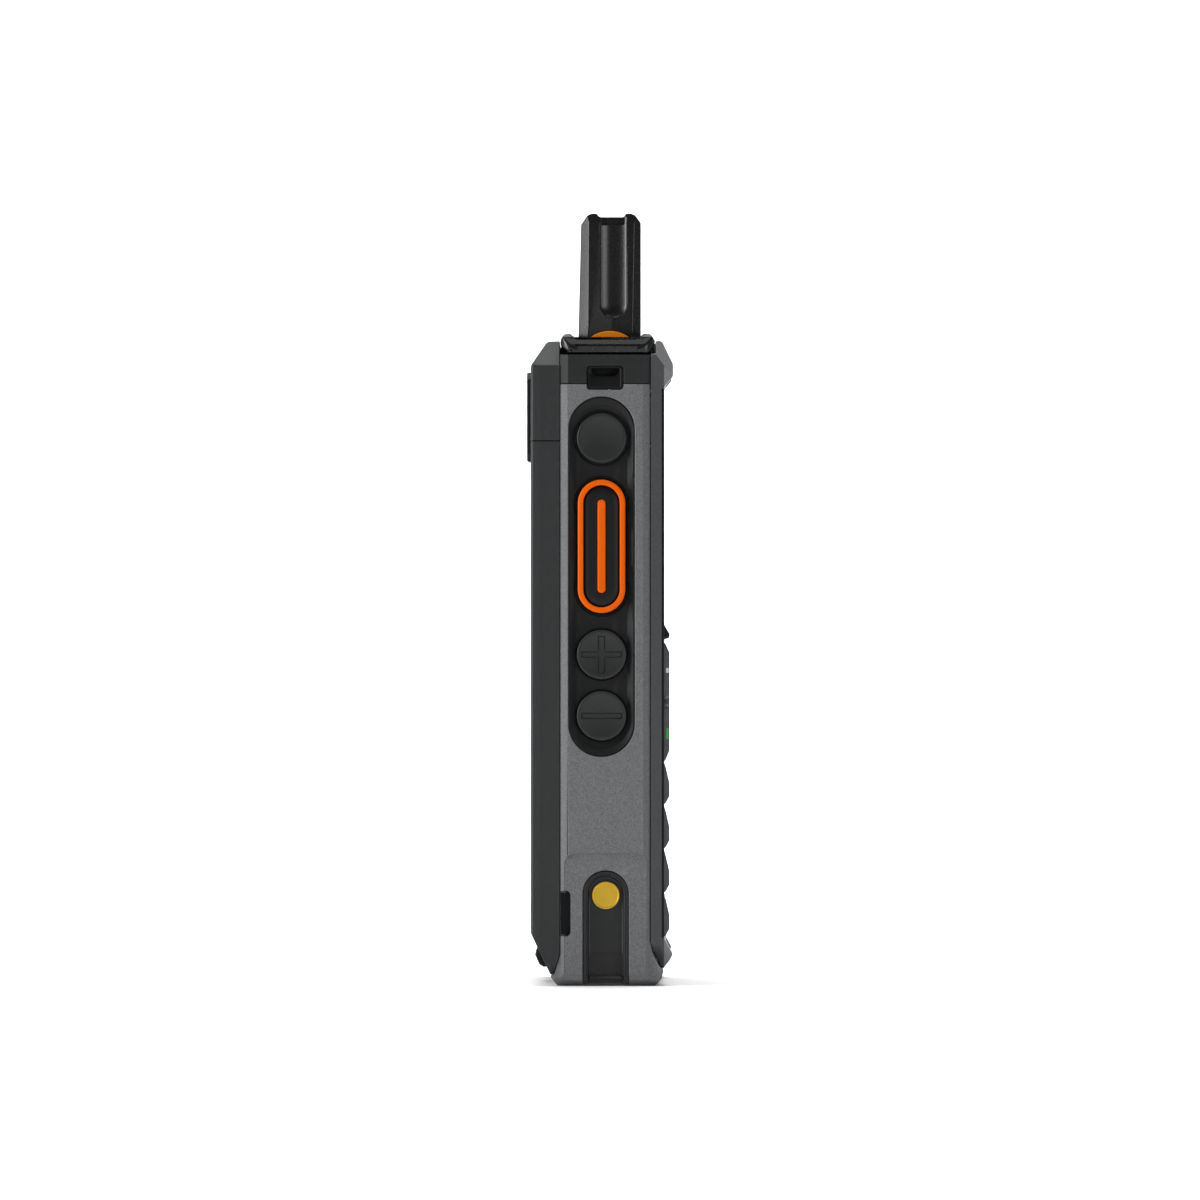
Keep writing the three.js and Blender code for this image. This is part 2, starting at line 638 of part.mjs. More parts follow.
// Raised plate that a belt clip screws to.
function clipPlate() {
  const outline = polygon([
    [-9.6, 101.3], [9.6, 101.3], [11, 102.7], [11, 117.2],
    [9.6, 118.6], [-9.6, 118.6], [-11, 117.2], [-11, 102.7],
  ]);
  const bevel = polygon([
    [BACK + 0.05, 101.3], [PLATE_BACK - 0.4, 101.3], [PLATE_BACK, 102.2], [PLATE_BACK, 117.6],
    [PLATE_BACK - 0.6, 118.6], [BACK + 0.05, 118.6],
  ]);
  const holes = [-8, 8].map((x) => alongY(circle(x, 110, 2.2), 14, 16, FINE / 2));
  return cut(common(alongY(outline, 14, 16), alongX(bevel, -11, 11)), ...holes);
}

function plateScrew() {
  const head = alongY(circle(0, 0, 2), BACK + 0.1, PLATE_BACK - 0.1, FINE / 2);
  const shank = alongY(circle(0, 0, 1.1), 10, BACK + 0.2);
  return join(head, shank);
}

// ---------------------------------------------------------------- battery

// The latch and its slot lie on the battery's sloping foot. This frame has u down the slope and v outwards.
const SLOPE_TOP = [14.1, 9.7]; // the point on the slope where u is 0
const SLOPE_ANGLE = Math.atan2(7.75, 3.9); // from the horizontal
function onSlope(made) {
  return made.rotate([THREE.MathUtils.radToDeg(SLOPE_ANGLE), 0, 0]).translate([0, ...SLOPE_TOP]);
}

// A box on the slope: u0..u1 down it, v0..v1 out of it.
function slopeBox(halfWidth, u0, u1, v0, v1) {
  return onSlope(box(-halfWidth, halfWidth, -u1, -u0, -v1, -v0));
}

function batteryCover() {
  const profile = polygon([
    [FRAME + 0.2, 6.3], [9.9, 2.9], [10.5, 2.55],
    [BACK, 10.2], [BACK, BATTERY_TOP], [FRAME + 0.2, BATTERY_TOP],
  ]);
  const outline = polygon([
    [-23.6, 1], [23.6, 1], [25.6, 2.2], [BACK_SIDE, 4.6],
    [BACK_SIDE, 106], [-BACK_SIDE, 106], [-BACK_SIDE, 4.6], [-25.6, 2.2],
  ]);
  const shell = common(
    alongX(profile, -BACK_SIDE, BACK_SIDE), alongY(outline, 8, 15), alongZ(backSection, 0, 106),
  );
  const hollow = box(-21.3, 21.3, 8, 12.6, 11, 100);
  const plateNotch = box(-11.5, 11.5, 8, 15, 101, 106);
  return cut(shell, hollow, plateNotch, slopeBox(3.4, 2.2, 7.2, -2.6, 1));
}

function batteryBase() {
  const tub = box(-21.2, 21.2, 1, FRAME + 0.1, 4.4, 99.6);
  return cut(tub, box(-20.2, 20.2, 2, 10, 5.4, 98.6));
}

function batteryCell() {
  return box(-20, 20, 2.15, 12.4, 11.2, 98.4);
}

function batteryLatch() {
  const knobProfile = [[3, 0.25], [3.3, 0.9], [4.1, 1.55], [6.1, 1.65], [7, 1.1], [7.3, 0.25]];
  const knob = onSlope(alongX(polygon(knobProfile.map(([u, v]) => [-u, -v])), -6.5, 6.5));
  const stem = slopeBox(3, 4.4, 6.3, -2.2, 0.4);
  return join(knob, stem);
}

// ---------------------------------------------------------------- assembly

addMesh("main_frame", mainFrame(), MATERIALS.greyShell);
addMesh("contact_channel_left", contactChannel(), MATERIALS.blackShell);
addMesh("contact_channel_right", mirrored(contactChannel()), MATERIALS.blackShell);
addMesh("charge_contact_left", chargeContact(), MATERIALS.gold);
addMesh("charge_contact_right", mirrored(chargeContact()), MATERIALS.gold);
addMesh("lanyard_anchor", lanyardAnchor(), MATERIALS.blackShell);

addMesh("top_housing", topHousing(), MATERIALS.blackShell);
addMesh("antenna_collar", antennaCollar(), MATERIALS.blackShell);
addMesh("antenna_ring", antennaRing(), MATERIALS.orange);
addMesh("antenna_cover", antennaCover(), MATERIALS.blackRubber);
addMesh("antenna_core", antennaCore(), MATERIALS.metal);
addMesh("status_lamp", alongZ(roundRect(3.4, -0.9, 8.6, 0.9, 0.8), 120.4, 123.9), MATERIALS.lamp);

addMesh("front_shell", frontShell(), MATERIALS.darkShell);
addMesh("front_panel", frontPanel(), MATERIALS.blackShell);
addMesh("display_lens", displayLens(), MATERIALS.glass);
addMesh("display_module", displayModule(), MATERIALS.metal);
addMesh("loudspeaker", loudspeaker(), MATERIALS.metal);
addMesh("speaker_mesh", speakerMesh(), MATERIALS.mesh);
addMesh("microphone", microphone(), MATERIALS.metal);

KEY_ROWS.forEach((z, row) =>
  KEY_COLUMNS.forEach((x, column) =>
    addMesh(NUMBER_NAMES[row][column], numberKey(), MATERIALS.blackRubber, [x, 0, z]),
  ),
);
addMesh("soft_key_left", cornerKey(-1, 55.1, 66.15, 1.9, 0), MATERIALS.blackRubber);
addMesh("soft_key_right", cornerKey(1, 55.1, 66.15, 1.9, 0), MATERIALS.blackRubber);
addMesh("call_key", cornerKey(-1, 43.25, 54.5, 0, 2), MATERIALS.blackRubber);
addMesh("end_key", cornerKey(1, 43.25, 54.5, 0, 2), MATERIALS.blackRubber);
addMesh("navigation_ring", navigationRing(), MATERIALS.blackRubber, [0, 0, NAV.z]);
addMesh("ok_key", okKey(), MATERIALS.blackRubber, [0, 0, NAV.z]);
addMesh("keypad_mat", keypadMat(), MATERIALS.blackRubber);

addMesh("main_board", mainBoard(), MATERIALS.circuit);
addMesh("shield_can", shieldCan(), MATERIALS.metal);
addMesh("usb_connector", usbConnector(), MATERIALS.metal);
addMesh("battery_connector", batteryConnector(), MATERIALS.blackShell);

addMesh("side_key_bezel", sideKeyBezel(), MATERIALS.blackShell);
addMesh("side_switch_board", sideSwitchBoard(), MATERIALS.circuit);
addMesh("program_button", roundSideKey(), MATERIALS.blackRubber, [0, SIDE_KEY_Y, PROGRAM_Z]);
addMesh("volume_up_button", roundSideKey(), MATERIALS.blackRubber, [0, SIDE_KEY_Y, VOLUME_UP_Z]);
addMesh("volume_down_button", roundSideKey(), MATERIALS.blackRubber, [0, SIDE_KEY_Y, VOLUME_DOWN_Z]);
addMesh("ptt_button", pttButton(), MATERIALS.blackRubber, [0, SIDE_KEY_Y, PTT.z]);
addMesh("ptt_ring", pttRing(), MATERIALS.orange, [0, SIDE_KEY_Y, PTT.z]);
addMesh("ptt_bar", pttBar(), MATERIALS.orange, [0, SIDE_KEY_Y, PTT.z]);
addMesh("port_cover", portCover(), MATERIALS.blackRubber);

addMesh("rear_cover", rearCover(), MATERIALS.blackShell);
addMesh("clip_plate", clipPlate(), MATERIALS.blackShell);
addMesh("plate_screw_left", plateScrew(), MATERIALS.metal, [-8, 0, 110]);
addMesh("plate_screw_right", plateScrew(), MATERIALS.metal, [8, 0, 110]);

addMesh("battery_cover", batteryCover(), MATERIALS.blackShell);
addMesh("battery_base", batteryBase(), MATERIALS.blackShell);
addMesh("battery_cell", batteryCell(), MATERIALS.cell);
addMesh("battery_latch", batteryLatch(), MATERIALS.blackShell);

export default radio;
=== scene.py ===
"""The looks of the two way radio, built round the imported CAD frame.

Sizes are in millimetres and turn into metres where a mesh is made. +Z is up, the front faces -Y, the
battery faces +Y and the talk key is on the -X side, which is the side that the camera sees.

Every shape is an outline (a flat polygon with rounded corners) stacked along one axis. Each level of the
stack has its own inset, so edges, lips and floors of pockets are round in the mesh itself.
"""

import math

import bmesh
import bpy
from mathutils import Matrix, Vector


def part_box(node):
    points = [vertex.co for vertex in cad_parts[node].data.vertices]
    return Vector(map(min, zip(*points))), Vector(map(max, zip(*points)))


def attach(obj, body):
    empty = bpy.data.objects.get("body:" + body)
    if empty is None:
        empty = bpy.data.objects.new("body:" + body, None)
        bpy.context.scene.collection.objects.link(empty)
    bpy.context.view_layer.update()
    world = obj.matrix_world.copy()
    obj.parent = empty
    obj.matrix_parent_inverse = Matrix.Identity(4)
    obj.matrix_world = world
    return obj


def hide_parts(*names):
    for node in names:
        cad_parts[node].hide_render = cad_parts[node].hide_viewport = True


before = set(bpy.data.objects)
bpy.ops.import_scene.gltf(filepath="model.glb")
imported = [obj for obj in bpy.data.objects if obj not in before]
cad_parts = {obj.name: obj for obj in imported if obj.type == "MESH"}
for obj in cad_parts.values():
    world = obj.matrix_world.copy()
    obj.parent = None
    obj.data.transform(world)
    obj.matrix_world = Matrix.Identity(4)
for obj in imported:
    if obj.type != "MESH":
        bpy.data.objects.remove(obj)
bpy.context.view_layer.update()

MM = 0.001


def span(node):
    """Lowest and highest corner of a CAD node, in millimetres."""
    low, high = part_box(node)
    return low / MM, high / MM


def middle(node):
    low, high = span(node)
    return (low + high) / 2


def half_size(node, axis):
    """Half of a CAD node's size along an axis."""
    low, high = span(node)
    return (getattr(high, axis) - getattr(low, axis)) / 2


SIDE = span("main_frame")[1].x  # face of the frame's left and right sides
FRAME_TOP = span("main_frame")[1].z
FRAME_DEPTH = 8.7  # half depth of the frame above its flared foot
CHAMFER = (0.8, 1.5)  # bevel on the frame's long edges: across and along the side face
SHELL_SIDE = span("front_shell")[1].x
SHOULDER = span("rear_cover")[1].z
BACK_SIDE = span("rear_cover")[1].x
BACK = span("rear_cover")[1].y
GAP = 0.15  # clearance between a part and the opening that it sits in
STRAP_FLOOR = -23.4
KEY_FLOOR = -26.4  # floor of the well that the side keys sit in
WIDE = 30  # out past both side faces
PAST_FRONT = -15  # out past every front face
PAST_SHELL = -8  # behind the front shell's wall
PANEL_FACE = span("display_lens")[0].y
PANEL_BACK = span("front_panel")[1].y
KEY_FACE = span("key_5")[0].y
KEY_BACK = span("key_5")[1].y
SIDE_KEY_Y = middle("program_button").y
SWITCH_X = -24  # the openings for the side keys end here
PTT_Z = middle("ptt_button").z
CONTACT_Z = middle("charge_contact_left").z
BUMPER_Y = -11.35  # the front shell is light grey in front of this, at its top and its foot
TAB_Y = -0.9  # centre of the round tabs that the antenna's ring shows at each side
TAB_Z = 120.1
TAB_RADIUS = 6.3
DECK_TOP = span("top_housing")[1].z
ANTENNA_FOOT = 124.96
SCREWS = ("plate_screw_left", "plate_screw_right")
PRINT = 0.03  # thickness of the prints on the keys
WHITE, GREEN, RED = 1, 2, 3  # places of the prints' finishes in a key's list of materials

# ---------------------------------------------------------------- outlines and solids

AXES = {
    "x": lambda u, v, w: (w, u, v),
    "y": lambda u, v, w: (u, w, v),
    "z": lambda u, v, w: (u, v, w),
}
LEAST_RADIUS = 0.02  # what is left of a corner's radius when an inset has used it up
MERGE = 0.002  # points closer than this become one


def outline(points, radii=0.0, steps=6):
    """A flat polygon whose corners are rounded by radii: one number for all, or one for each corner."""
    corners = [Vector(p) for p in points]
    rounds = list(radii) if hasattr(radii, "__len__") else [radii] * len(corners)
    area = sum(a.cross(b) for a, b in zip(corners, corners[1:] + corners[:1]))
    if area < 0:
        corners.reverse()
        rounds.reverse()
    return corners, rounds, steps


def shaped(corners, steps=6):
    """An outline from (u, v, radius) corners."""
    return outline([c[:2] for c in corners], [c[2] for c in corners], steps)


def symmetric(half, middle=0.0, steps=6):
    """An outline with the same left and right halves.

    half lists the right half's (u, v, radius) corners, with u measured from middle.
    """
    right = [(middle + u, v, radius) for u, v, radius in half]
    left = [(middle - u, v, radius) for u, v, radius in half]
    return shaped(left[:1] + right + left[:0:-1], steps)


def rectangle(u0, v0, u1, v1, radius=0.0, steps=6):
    return outline([(u0, v0), (u1, v0), (u1, v1), (u0, v1)], radius, steps)


def pill(u, v, half_width, half_length, steps=16):
    """Upright slot with round ends. With half_length equal to half_width it is a circle."""
    radius = half_width - 0.005
    return rectangle(u - half_width, v - half_length, u + half_width, v + half_length, radius, steps)


def circle(u, v, radius, steps=16):
    return pill(u, v, radius, radius, steps)


def arch(u, half_width, low, top, steps=16):
    """Straight sides under a half-round top."""
    radius = half_width - 0.005
    return symmetric([(half_width, low, 0.0), (half_width, top, radius)], u, steps)


def ring_points(shape, inset):
    """The outline's points after it has moved inwards by inset. Every inset gives the same number."""
    corners, rounds, steps = shape
    found = []
    for i, here in enumerate(corners):
        into = (here - corners[i - 1]).normalized()
        away = (corners[(i + 1) % len(corners)] - here).normalized()
        normal_in = Vector((into.y, -into.x))
        normal_out = Vector((away.y, -away.x))
        miter = (normal_in + normal_out) / (1 + normal_in.dot(normal_out))
        corner = here - miter * inset
        if rounds[i] == 0:
            found.append(corner)
            continue
        way = 1 if into.cross(away) > 0 else -1
        radius = max(rounds[i] - way * inset, LEAST_RADIUS)
        centre = corner - miter * radius * way
        start = math.atan2(normal_in.y * way, normal_in.x * way)
        turn = math.atan2(into.cross(away), into.dot(away))
        for k in range(steps + 1):
            angle = start + turn * k / steps
            found.append(centre + radius * Vector((math.cos(angle), math.sin(angle))))
    return found


def loft(name, axis, levels):
    """A closed mesh object through (place, points) levels, which all have the same number of points."""
    mesh = bmesh.new()
    rings = []
    for place, points in levels:
        rings.append([mesh.verts.new(Vector(AXES[axis](*p, place)) * MM) for p in points])
    count = len(rings[0])
    for low, high in zip(rings, rings[1:]):
        for i in range(count):
            j = (i + 1) % count
            mesh.faces.new((low[i], low[j], high[j], high[i]))
    mesh.faces.new(rings[0])
    mesh.faces.new(rings[-1])
    bmesh.ops.remove_doubles(mesh, verts=mesh.verts, dist=MERGE * MM)
    bmesh.ops.recalc_face_normals(mesh, faces=mesh.faces)
    return object_from(name, mesh)


def stack(name, shape, axis, profile):
    """A closed mesh object: the outline at each (place, inset) of profile, joined in order and capped."""
    return loft(name, axis, [(place, ring_points(shape, inset)) for place, inset in profile])


def prism(name, shape, axis, low, high):
    """A closed mesh object: the outline swept straight from low to high."""
    return stack(name, shape, axis, [(low, 0), (high, 0)])


def new_object(name, data):
    made = bpy.data.objects.new(name, data)
    bpy.context.scene.collection.objects.link(made)
    return made


def object_from(name, mesh):
    """A mesh object from a bmesh, which is freed."""
    data = bpy.data.meshes.new(name)
    mesh.to_mesh(data)
    mesh.free()
    return new_object(name, data)


def quarter(steps):
    """Angles from 0 to 90 degrees."""
    return [math.pi / 2 * k / steps for k in range(steps + 1)]


def fillet(radius, steps):
    """(depth, inset) levels of a quarter-round edge, or one level when the radius is 0."""
    if not radius:
        return [(0.0, 0.0)]
    return [(radius * (1 - math.cos(a)), radius * (1 - math.sin(a))) for a in quarter(steps)]


def rounded(low, high, low_edge=0.0, high_edge=0.0, steps=4):
    """Profile of a solid from low to high whose end edges are rounded by those radii."""
    start = [(low + depth, inset) for depth, inset in fillet(low_edge, steps)]
    end = [(high - depth, inset) for depth, inset in fillet(high_edge, steps)]
    return start + end[::-1]


def pocket(surface, floor, lip=0.0, floor_edge=0.0, steps=4, clear=0.4):
    """Profile of a cutter that enters at surface and ends at floor. Its mouth flares to a round lip."""
    way = 1 if floor > surface else -1
    if lip:
        first = math.radians(15)
        angles = [first + (math.pi / 2 - first) * k / steps for k in range(steps + 1)]
        mouth = [(lip * (1 - math.cos(a)), -lip * (1 - math.sin(a))) for a in angles]
        depth, inset = mouth[0]
        mouth.insert(0, (-clear, inset - (depth + clear) / math.tan(first)))
    else:
        mouth = [(-clear, 0.0)]
    end = [(abs(floor - surface) - depth, inset) for depth, inset in fillet(floor_edge, steps)]
    return [(surface + way * depth, inset) for depth, inset in mouth + end[::-1]]


def solid(name, shape, axis, *ends, **more):
    """A closed mesh object: the outline swept between rounded ends. For the ends see rounded."""
    return stack(name, shape, axis, rounded(*ends, **more))


def hole(name, shape, axis, *ends, **more):
    """A cutter for a hole with a round lip. For the ends see pocket."""
    return stack(name, shape, axis, pocket(*ends, **more))


def block(low, high, edge=0.0):
    """A box between two corners with its upright edges rounded."""
    shape = rectangle(low[0], low[1], high[0], high[1], edge, 3)
    return prism("block", shape, "z", low[2], high[2])


def settle(made):
    """Applies the object's modifiers."""
    graph = bpy.context.evaluated_depsgraph_get()
    data = bpy.data.meshes.new_from_object(made.evaluated_get(graph))
    made.modifiers.clear()
    made.data = data
    return made


def combine(made, others, operation):
    for other in others:
        modifier = made.modifiers.new("combine", "BOOLEAN")
        modifier.operation = operation
        modifier.solver = "MANIFOLD"
        modifier.object = other
        settle(made)
        bpy.data.objects.remove(other)
    return made


def cut(made, *others):
    return combine(made, others, "DIFFERENCE")


def join(made, *others):
    return combine(made, others, "UNION")


def common(made, *others):
    return combine(made, others, "INTERSECT")


def mirror(made):
    """Moves an object to the other side of the radio, with its faces still outwards."""
    made.data.transform(Matrix.Scale(-1, 4, (1, 0, 0)))
    made.data.flip_normals()


def score(made, point, normal, remove=False):
    """Splits the faces along a plane. remove also cuts away what lies beyond it and closes the cut."""
    mesh = bmesh.new()
    mesh.from_mesh(made.data)
    result = bmesh.ops.bisect_plane(
        mesh,
        geom=mesh.verts[:] + mesh.edges[:] + mesh.faces[:],
        plane_co=Vector(point) * MM,
        plane_no=Vector(normal),
        clear_outer=remove,
    )
    if remove:
        rim = [e for e in result["geom_cut"] if isinstance(e, bmesh.types.BMEdge)]
        bmesh.ops.holes_fill(mesh, edges=rim)
    mesh.to_mesh(made.data)
    mesh.free()
    return made


def soften(made, width, angle=30, segments=2):
    """Rounds the edges that cutting has left sharp."""
    modifier = made.modifiers.new("soften", "BEVEL")
    modifier.width = width * MM
    modifier.segments = segments
    modifier.limit_method = "ANGLE"
    modifier.angle_limit = math.radians(angle)
    modifier.use_clamp_overlap = False
    modifier.miter_outer = "MITER_ARC"
    return settle(made)


def dress(made, node, material, body="radio", name=None):
    """Finishes a piece, and ties it to its CAD node, body and material slot.

    It takes the node's name unless another is given.
    """
    made.name = name or node
    made.data.name = made.name
    faces = made.data.polygons
    indices = [face.material_index for face in faces]
    made.data.materials.clear()  # this also clears each face's index
    for each in material if isinstance(material, list) else [material]:
        made.data.materials.append(each)
    for face, index in zip(faces, indices):
        face.material_index = index
    shade(made)
    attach(made, body)
    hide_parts(node)


def shade(made, crease=40):
    """Smooth shading that stays sharp across edges of more than crease degrees."""
    made.data.shade_smooth()
    made.data.set_sharp_from_angle(angle=math.radians(crease))
    weighted = made.modifiers.new("weighted", "WEIGHTED_NORMAL")
    weighted.keep_sharp = True
    weighted.weight = 80


def paint(made, index, chosen):
    """Gives material number index to the faces whose centre, in millimetres, is chosen."""
    for face in made.data.polygons:
        if chosen(face.center / MM):
            face.material_index = index


# ---------------------------------------------------------------- materials


def linear(red, green, blue):
    """Scene colour from 0 to 255 display values."""
    return tuple(((c / 255 + 0.055) / 1.055) ** 2.4 if c > 10 else c / 3294.6 for c in (red, green, blue))


class Nodes:
    """A new material's node tree with short helpers for building it."""

    def __init__(self, name):
        self.material = bpy.data.materials.new(name)
        self.material.use_nodes = True
        self.tree = self.material.node_tree
        self.shader = self.tree.nodes["Principled BSDF"]
        self.place = self.tree.nodes.new("ShaderNodeTexCoord").outputs["Object"]

    def put(self, socket, value):
        """Sets a socket: a number or a colour directly, and another node's output by a link."""
        if isinstance(value, (int, float)):
            socket.default_value = value
        elif isinstance(value, tuple):
            socket.default_value = (*value, 1)
        else:
            self.tree.links.new(value, socket)

    def surface(self, **sockets):
        """Sets sockets of the shader. An underscore stands for a space in a socket's name."""
        for name, value in sockets.items():
            self.put(self.shader.inputs[name.replace("_", " ")], value)

    def add(self, kind, sockets, **settings):
        """A new node with its settings, and with its sockets set by name."""
        node = self.tree.nodes.new(kind)
        for key, value in settings.items():
            setattr(node, key, value)
        for name, value in sockets.items():
            self.put(node.inputs[name], value)
        return node.outputs

    def noise(self, scale, detail=3.0, rough=0.5):
        """Noise whose features are about 1 / scale metres across."""
        sockets = {"Scale": scale, "Detail": detail, "Roughness": rough, "Vector": self.place}
        return self.add("ShaderNodeTexNoise", sockets)["Fac"]

    def spread(self, source, low, high, start=0.0, stop=1.0):
        """Maps start..stop to low..high, and holds the ends."""
        sockets = {"From Min": start, "From Max": stop, "To Min": low, "To Max": high, "Value": source}
        return self.add("ShaderNodeMapRange", sockets)["Result"]

    def maths(self, operation, first, second):
        return self.add("ShaderNodeMath", {0: first, 1: second}, operation=operation)["Value"]

    def tint(self, factor, first, second):
        """Mixes two colours."""
        sockets = {"Factor": factor, "A": first, "B": second}
        return self.add("ShaderNodeMix", sockets, data_type="RGBA")["Result"]

    def bump(self, height, strength, depth):
        sockets = {"Strength": strength, "Distance": depth * MM, "Height": height}
        self.surface(Normal=self.add("ShaderNodeBump", sockets)["Normal"])

    def wear(self, low=0.53, high=0.62):
        """1 along convex edges and 0 elsewhere, broken up so that it looks rubbed."""
        point = self.add("ShaderNodeNewGeometry", {})["Pointiness"]
        edge = self.spread(point, 0.0, 1.0, low, high)
        return self.maths("MULTIPLY", edge, self.spread(self.noise(900), 0.2, 1.0, 0.35, 0.65))


def moulded(name, shown, grain, relief, roughness, mottle=0.10, wear=0.25, coarse=0.35, specular=0.5):
    """Moulded plastic or rubber. grain is the texture's pitch and relief its depth, in millimetres.

    shown is the colour in 0 to 255 display values.
    """
    nodes = Nodes(name)
    colour = linear(*shown)
    fine = nodes.noise(1 / (grain * MM), 2.0, 0.6)
    patches = nodes.noise(35, 2.0)
    dark = tuple(c * (1 - mottle) for c in colour)
    light = tuple(c * (1 + mottle) for c in colour)
    speckle = nodes.tint(nodes.spread(fine, 0, 1, coarse, 1 - coarse), dark, light)
    rubbed = tuple(min(1.0, c * 1.7 + 0.02) for c in colour)
    aged = nodes.tint(nodes.maths("MULTIPLY", nodes.wear(), wear), speckle, rubbed)
    rough = nodes.maths("ADD", nodes.spread(fine, -0.05, 0.05), nodes.spread(patches, -0.05, 0.05))
    rough = nodes.maths("ADD", rough, roughness)
    nodes.surface(Base_Color=aged, Roughness=rough, Specular_IOR_Level=specular)
    nodes.bump(fine, 0.6, relief)
    return nodes.material


def metal(name, colour, roughness):
    """Plated metal with faint scratches and a slightly uneven finish."""
    nodes = Nodes(name)
    cloud = nodes.noise(300, 3.0)
    fine = nodes.noise(6000, 2.0)
    dull = tuple(c * 0.8 for c in colour)
    mixed = nodes.tint(cloud, dull, colour)
    rough = nodes.spread(cloud, roughness - 0.06, roughness + 0.1)
    nodes.surface(Base_Color=mixed, Metallic=1.0, Roughness=rough)
    nodes.bump(fine, 0.3, 0.02)
    return nodes.material


def window_glass():
    """Dark, hard-coated window with a faint smudge in its gloss."""
    nodes = Nodes("window_glass")
    smudge = nodes.noise(60, 4.0)
    colour = nodes.tint(smudge, (0.004, 0.0045, 0.005), (0.007, 0.008, 0.009))
    rough = nodes.spread(smudge, 0.04, 0.14)
    nodes.surface(Base_Color=colour, Roughness=rough, Specular_IOR_Level=0.3, Coat_Weight=0.15)
    return nodes.material


def circuit_board():
    """Green solder mask over a grid of traces."""
    nodes = Nodes("solder_mask")
    sockets = {"Scale": 260, "Mortar Size": 0.03, "Vector": nodes.place}
    traces = nodes.add("ShaderNodeTexBrick", sockets)["Fac"]
    colour = nodes.tint(traces, (0.012, 0.075, 0.03), (0.03, 0.13, 0.06))
    nodes.surface(Base_Color=colour, Roughness=nodes.spread(nodes.noise(500), 0.3, 0.5))
    return nodes.material


def woven_mesh():
    """Fine acoustic mesh: two crossed waves of thread."""
    nodes = Nodes("acoustic_mesh")
    sockets = {"Scale": 900, "Vector": nodes.place}
    threads = [nodes.add("ShaderNodeTexWave", sockets, bands_direction=d)["Fac"] for d in ("X", "Z")]
    weave = nodes.maths("MAXIMUM", *threads)
    colour = nodes.tint(weave, (0.004, 0.004, 0.004), (0.05, 0.05, 0.052))
    nodes.surface(Base_Color=colour, Roughness=0.7)
    nodes.bump(weave, 0.8, 0.05)
    return nodes.material


def floor_paint():
    nodes = Nodes("floor_paint")
    colour = nodes.tint(nodes.noise(4, 2.0), (0.86, 0.86, 0.86), (0.9, 0.9, 0.9))
    nodes.surface(Base_Color=colour, Roughness=0.8, Specular_IOR_Level=0.1)
    return nodes.material


GREY = moulded("grey_textured_plastic", (91, 92, 94), 0.2, 0.05, 0.6, mottle=0.3, wear=0.35, specular=0.35)
TRIM = moulded("light_grey_trim", (104, 106, 108), 0.3, 0.02, 0.45, mottle=0.08, wear=0.4)
DARK = moulded("dark_grey_plastic", (55, 57, 59), 0.3, 0.03, 0.5, specular=0.35)
BLACK = moulded("black_satin_plastic", (17, 18, 19), 0.3, 0.02, 0.45, wear=0.06, specular=0.17)
GLOSSY = moulded("black_smooth_plastic", (17, 18, 18), 0.3, 0.01, 0.26, mottle=0.06, specular=0.35)
CHANNEL = moulded("channel_plastic", (25, 26, 28), 0.3, 0.02, 0.4, specular=0.35)
BEZEL = moulded("bezel_plastic", (21, 22, 22), 0.3, 0.02, 0.5, specular=0.15)
HOUSING = moulded("black_textured_plastic", (25, 26, 27), 0.32, 0.04, 0.52, mottle=0.14, specular=0.25)
BATTERY = moulded("battery_plastic", (34, 35, 36), 0.32, 0.03, 0.5, mottle=0.12, specular=0.3)
RUBBER = moulded("black_rubber", (26, 27, 28), 0.22, 0.012, 0.45, mottle=0.08, wear=0.15, specular=0.35)
TALK_RUBBER = moulded(
    "talk_key_rubber", (13, 14, 14), 0.22, 0.012, 0.45, mottle=0.08, wear=0.15, specular=0.2
)
ANTENNA_RUBBER = moulded(
    "antenna_rubber", (10, 10, 11), 0.25, 0.03, 0.28, mottle=0.1, wear=0.2, specular=0.48
)
KEY_RUBBER = moulded("key_rubber", (44, 46, 48), 0.22, 0.015, 0.5, mottle=0.06, wear=0.3)
ORANGE = moulded("orange_plastic", (205, 84, 2), 0.25, 0.01, 0.4, mottle=0.04, wear=0.1, specular=0.1)
AMBER = moulded("amber_plastic", (225, 130, 20), 0.25, 0.01, 0.4, mottle=0.04, wear=0.1, specular=0.2)
LAMP = moulded("milky_lamp", (206, 216, 208), 0.4, 0.005, 0.25, mottle=0.02, wear=0.0)
WHITE_PRINT = moulded("white_print", (225, 227, 225), 0.1, 0.003, 0.5, mottle=0.04, wear=0.0)
GREEN_PRINT = moulded("green_print", (60, 170, 70), 0.1, 0.003, 0.5, mottle=0.04, wear=0.0)
RED_PRINT = moulded("red_print", (205, 50, 40), 0.1, 0.003, 0.5, mottle=0.04, wear=0.0)
GOLD = metal("gold_plating", (0.72, 0.45, 0.05), 0.3)
STEEL = metal("plated_steel", (0.62, 0.63, 0.65), 0.28)
CELL = metal("cell_can", (0.5, 0.51, 0.53), 0.42)
GLASS = window_glass()
BOARD = circuit_board()
MESH = woven_mesh()

# ---------------------------------------------------------------- shared outlines


def plan_section(half_depth, side):
    """Plan of the frame: flat sides with a bevel along each long edge."""
    across, along = CHAMFER
    x, y, reach = side - across, half_depth - along, 14.0
    half = [(x, -reach, 0), (x, -half_depth, 0), (side, -y, 0.3)]
    half += [(side, y, 0.3), (x, half_depth, 0), (x, reach, 0)]
    return symmetric(half, steps=3)


def foot_outline():
    """Front view of the frame. Its foot turns in at both sides."""
    return symmetric([(24.2, 0.0, 0.8), (26.5, 1.1, 1.0), (28.9, 5.9, 0), (28.9, 125, 0)])


